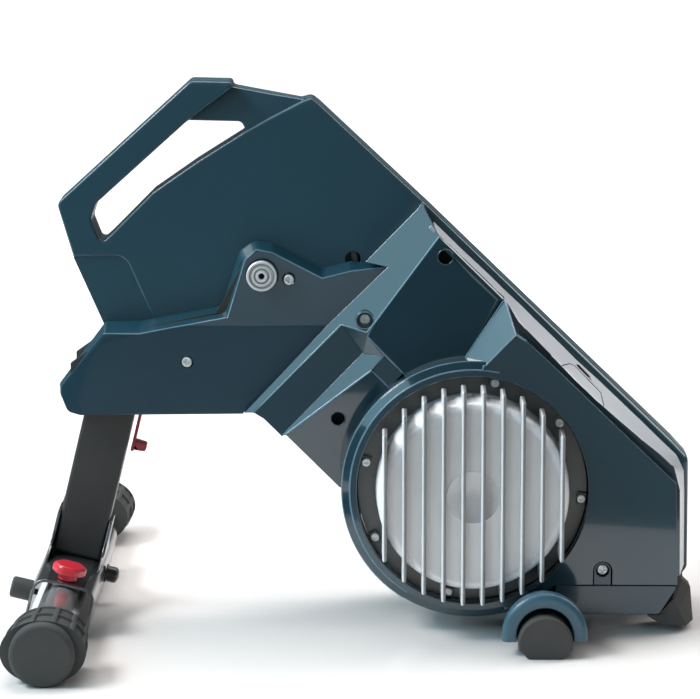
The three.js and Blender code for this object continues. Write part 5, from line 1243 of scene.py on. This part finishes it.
def release_lever():
    """A flat strip behind the leg with a thumb tab, a hook and a knuckle on its pin."""
    near, far = -16.5, -1.5
    strip = rounded([(near, -86), (far, -86), (far, -14), (near, -14)], [3, 3, 2, 2])
    strip = crossways(plate(strip, 28.5, 31.5, 0.7, 0.7))
    tab = rounded([(31, -84), (43.5, -83), (43.5, -75.5), (31, -74.5)], [0.4, 2.6, 2.6, 0.4])
    tab = plate(tab, near, far, 0.8, 0.8)
    hook = block((28.2, near, -17), (34.5, far, -14))
    knuckle = sleeve(3.3, 5.1, near, far, (30, -34), sides=40, radius=0.5)
    piece("release_lever", leaned(strip, tab, hook, knuckle), RED_PAINT, "release_lever", "lever")


def leg_saddle():
    """A bent channel over the front tube, and a flared plate on each side of the leg."""
    low, top, under = SADDLE_LOW - 20, SADDLE_TOP, SADDLE_TOP - 3
    channel = [(-31.5, low), (-31.5, top), (31.5, top), (31.5, low)]
    channel += [(28.5, low), (28.5, under), (-28.5, under), (-28.5, low)]
    bracket = plate(rounded(channel, [0.5, 14, 14, 0.5, 0.5, 11, 11, 0.5], 8), -135, 135, 0.9, 0.9)
    foot = LEG_FOOT - 3.3
    flare = [(-73, foot), (55, foot), (18, foot + 16), (9, foot + 46), (-27, foot + 46), (-36, foot + 16)]
    flare = rounded(flare, [2, 2, 22, 3, 3, 22], 8)
    plates = [crossways(plate(flare, x, x + 3, 0.8, 0.8)) for x in (-27.8, 24.8)]
    # The saddle's grey is a painted reflection on its black steel
    piece("leg_saddle", leaned(bracket, *plates), SADDLE_PAINTED_SHEEN, "leg_saddle", "front_leg")
    cross = sleeve(17.5, 20, -300, 300, FRONT_TUBE, sides=96, radius=0.5)
    piece("front_cross_tube", [cross], CHROME, "front_cross_tube", "front_leg")


def knob():
    """A lobed head: r = R (1 - l (1 - cos 6 t) / 2), rounded over its height, on a neck and a stud."""
    base = SADDLE_TOP + 0.3
    t = np.linspace(0, 2 * np.pi, 144, endpoint=False)
    lobes = 1 - 0.075 * (0.5 - 0.5 * np.cos(6 * t))
    head_radius, low, high = 16.5, base + 6.2, base + 15.7
    section = [(0, low), (head_radius, low), (head_radius, high), (0, high)]
    radius, height = rounded(section, [0, 2.4, 3.4, 0], 7).T[:, :, None]
    reach = radius * (1 - (1 - lobes) * (radius / head_radius))
    x, y = KNOB_PLACE[0] + reach * np.cos(t), KNOB_PLACE[1] + reach * np.sin(t)
    head = [grid(surface(x, y, height), wrap_rows=True)]
    neck = rounded([(0, base), (9.5, base), (9.0, base + 6.5), (0, base + 6.5)], [0, 1, 0.3, 0], 3)
    neck = turned(neck, KNOB_PLACE, "z", 56)
    stud = sleeve(0, 4, base - 14, base + 2, KNOB_PLACE, "z", 32)
    piece("locking_knob", leaned(head, neck, stud), RED_PLASTIC, "locking_knob", "knob")


def saddle_fittings():
    """The rubber stop on the front of the saddle and the capped nut on its rear, each on its stud."""
    bumper = sleeve(0, 10.5, -52.8, -31.8, STOP_PLACE, "x", 56, [0, 3, 0.8, 0], 5)
    shank = sleeve(0, 3, -36, -26, STOP_PLACE, "x", 24)
    piece("rubber_stop", leaned(bumper, shank), GREY_RUBBER, "rubber_stop", "front_leg")
    t = np.linspace(0, np.pi / 2, 8)[::-1]
    dome = np.column_stack([8 * np.cos(t), 41.5 + 4.3 * np.sin(t)])
    nut = turned(np.vstack([dome, [(8, 33.8), (0, 33.8)]]), NUT_PLACE, "x", 48)
    washer = sleeve(0, 9.5, 31.8, 33.9, NUT_PLACE, "x", 48, [0, 0.5, 0.5, 0])
    stud = sleeve(0, 3, 26, 33, NUT_PLACE, "x", 24)
    piece("saddle_cap_nut", leaned(nut, washer, stud), BLACK_PLASTIC, "saddle_cap_nut", "front_leg")


# The near front foot's outer station and its length, then its end disc's face and radius
FOOT_START, FOOT_LENGTH = -297, 61
FOOT_FACE, FOOT_DISC = -311.3, 30.5


def front_feet():
    """Feet with a lattice of ribs on an oval body: the ribs are bands of the two surface parameters."""
    bars, bar_radius = 12, 34
    around = np.linspace(0, 2 * np.pi, 240, endpoint=False)
    along = np.linspace(0, 1, 56)[:, None]
    # Distances in millimetres from the nearest ring and the nearest bar
    from_ring = np.abs(along * 2 - np.round(along * 2)) * FOOT_LENGTH / 2
    from_bar = np.abs(((around / (2 * np.pi) * bars) % 1) - 0.5) * 2 * np.pi * bar_radius / bars
    rib = np.clip((2.0 - np.minimum(from_ring, from_bar)) / 0.8 + 0.5, 0, 1)
    rib = rib * rib * (3 - 2 * rib)
    taper = 1 - 0.09 * along**2
    x = FRONT_TUBE[0] + (37.6 + 2.4 * rib) * taper * np.cos(around)
    z = FRONT_TUBE[1] + (28.1 + 2.4 * rib) * taper * np.sin(around)
    foot = skin(surface(x, FOOT_START + FOOT_LENGTH * along, z))
    shoulder = crown(FOOT_DISC, FOOT_FACE, 5)
    back = [(FOOT_DISC, -299.8), (28.4, -298.6), (28.4, -297.3), (0, -297.3)]
    disc = turned(np.vstack([[(0, FOOT_FACE)], shoulder, back]), FRONT_TUBE, sides=120)
    for label, turn in SIDES:
        body = f"foot_{label}"
        piece(f"{label}_front_foot", [turn(foot)], FOOT_RUBBER, f"front_foot_{label}", body)
        piece(f"{label}_front_end_disc", [turn(disc)], FOOT_RUBBER, f"front_end_disc_{label}", body)


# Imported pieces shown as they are: finish, width of the bevel in millimetres, and names
KEPT = [
    (BLACK_STEEL, 0.6, ["frame_plate_right"]),
    (STEEL, 0.4, ["hub_axle", "hub_bearing_left", "hub_bearing_right", "freehub_body"]),
    (STEEL, 0.4, ["idler_bolt", "lever_pin"]),
    (STEEL, 0.5, ["leg_pivot_pin", "fold_stop_bar", "brake_bearing_left", "brake_bearing_right"]),
    (STEEL, 0.5, ["flywheel"]),
    (BRIGHT_BRAKE, 0.5, ["brake_shaft", "brake_pulley"]),
    (DULL_AND_SHADED_CASTING, 0.6, ["hub_pulley", "impeller"]),
    (ZINC, 0.4, ["hub_cover_screw", "arm_cover_screw", "strip_screw", "lower_cover_screw"]),
    (ZINC, 0.3, [f"ring_screw_{number + 1}" for number in range(6)]),
    (BELT, 0.4, ["drive_belt"]),
    (BLACK_PLASTIC, 0.8, ["idler_pulley"]),
    (TEAL_DEEP, 1.2, ["arm_cover_right"]),
]

belt_casing()
near_frame_plate()
front_arm()
near_cover()
brake_ring()
brake_unit()
rear_spine()
lower_cover()
rear_feet()
wedges()
hub_caps()
drive_cover()
front_leg()
release_lever()
leg_saddle()
knob()
saddle_fittings()
front_feet()
for finish, width, nodes in KEPT:
    for node in nodes:
        keep(node, finish, width)

# Studio

WORLD_LIGHT = 0.09
FLOOR_REACH = 45.0
CAMERA_PLACE = (120.2, -3147.0, 844.0)
# The camera's tilt below level and its turn, in degrees, and its focal length
CAMERA_TILT, CAMERA_TURN, FOCAL_LENGTH = 10.5, 0.63, 164.57
WHITE = (1.0, 1.0, 1.0)
# Name, place, target, width and height in metres, power in watts and colour
LAMPS = [
    ("key_softbox", (-1.8, -0.4, 2.1), (0.0, 0.0, 0.25), 1.3, 0.7, 52, WHITE),
    ("top_softbox", (-0.2, 0.7, 2.6), (0.0, 0.0, 0.0), 2.4, 1.0, 52, WHITE),
    ("rear_softbox", (1.9, 1.0, 1.7), (0.0, 0.0, 0.2), 1.2, 1.6, 30, WHITE),
    ("left_wall", (-2.07, -0.75, 1.47), (0.0, 0.0, 0.3), 4.6, 1.3, 48, (0.48, 0.83, 1.0)),
    ("back_wall", (0.0, 1.9, 2.3), (0.0, 0.0, 0.3), 3.4, 1.0, 18, (0.82, 0.94, 1.0)),
    ("front_wall", (0.3, -4.6, 1.02), (0.0, 0.0, 0.3), 5.0, 1.25, 17, (0.8, 0.93, 1.0)),
]


def studio():
    """A white floor, bright near the trainer, that fades to white for the camera and to dark in front.

    The trainer's glossy faces mirror the floor ahead of them, so its lit part ends 0.6 m to the front.
    """
    floor = Finish("studio floor", 0.14, ior=1.4)
    edge = floor.along("X").past(0.2, 0.36) * -0.045 + 0.576
    lit = 1 - (-floor.along("Y") - edge).past(0.0, 0.012)
    path = floor.node("ShaderNodeLightPath")
    seen = Value(floor, path.outputs["Is Camera Ray"])
    shown = (lit + seen).held()
    floor.colour(floor.between(shown, srgb(60, 62, 64), srgb(252, 245, 241)))
    far = (floor.along("X") ** 2 + floor.along("Y") ** 2) ** 0.5
    white = far.past(0.5, 2.2) * seen
    floor.set("Emission Color", floor.between(white, (0, 0, 0, 1), (1, 1, 1, 1)))
    floor.set("Emission Strength", 1.0)
    mesh = bpy.data.meshes.new("studio_floor")
    corners = [(FLOOR_REACH * x, FLOOR_REACH * y, 0) for x, y in ((-1, -1), (1, -1), (1, 1), (-1, 1))]
    mesh.from_pydata(corners, [], [(0, 1, 2, 3)])
    mesh.materials.append(floor.material)
    ground = bpy.data.objects.new("studio_floor", mesh)
    bpy.context.scene.collection.objects.link(ground)

    world = bpy.data.worlds.new("studio")
    bpy.context.scene.world = world
    world.use_nodes = True
    sky = world.node_tree.nodes["Background"]
    sky.inputs[0].default_value = (0.92, 0.96, 1.0, 1)
    sky.inputs[1].default_value = WORLD_LIGHT

    for lamp in LAMPS:
        softbox(*lamp)

    scene = bpy.context.scene
    scene.view_settings.view_transform = "Standard"
    scene.view_settings.look = "None"
    lens = bpy.data.cameras.new("camera")
    lens.sensor_width = 36.0
    lens.lens = FOCAL_LENGTH
    lens.clip_end = 100
    camera = bpy.data.objects.new("camera", lens)
    scene.collection.objects.link(camera)
    camera.location = placed(CAMERA_PLACE).tolist()
    camera.rotation_euler = (math.radians(90 - CAMERA_TILT), 0, math.radians(CAMERA_TURN))
    scene.camera = camera


def softbox(name, place, target, width, height, power, colour):
    """A rectangular lamp that faces its target."""
    lamp = bpy.data.lights.new(name, "AREA")
    lamp.shape = "RECTANGLE"
    lamp.size, lamp.size_y = width, height
    lamp.energy = power
    lamp.color = colour
    made = bpy.data.objects.new(name, lamp)
    bpy.context.scene.collection.objects.link(made)
    made.location = place
    made.rotation_euler = (Vector(target) - Vector(place)).to_track_quat("-Z", "Y").to_euler()


studio()
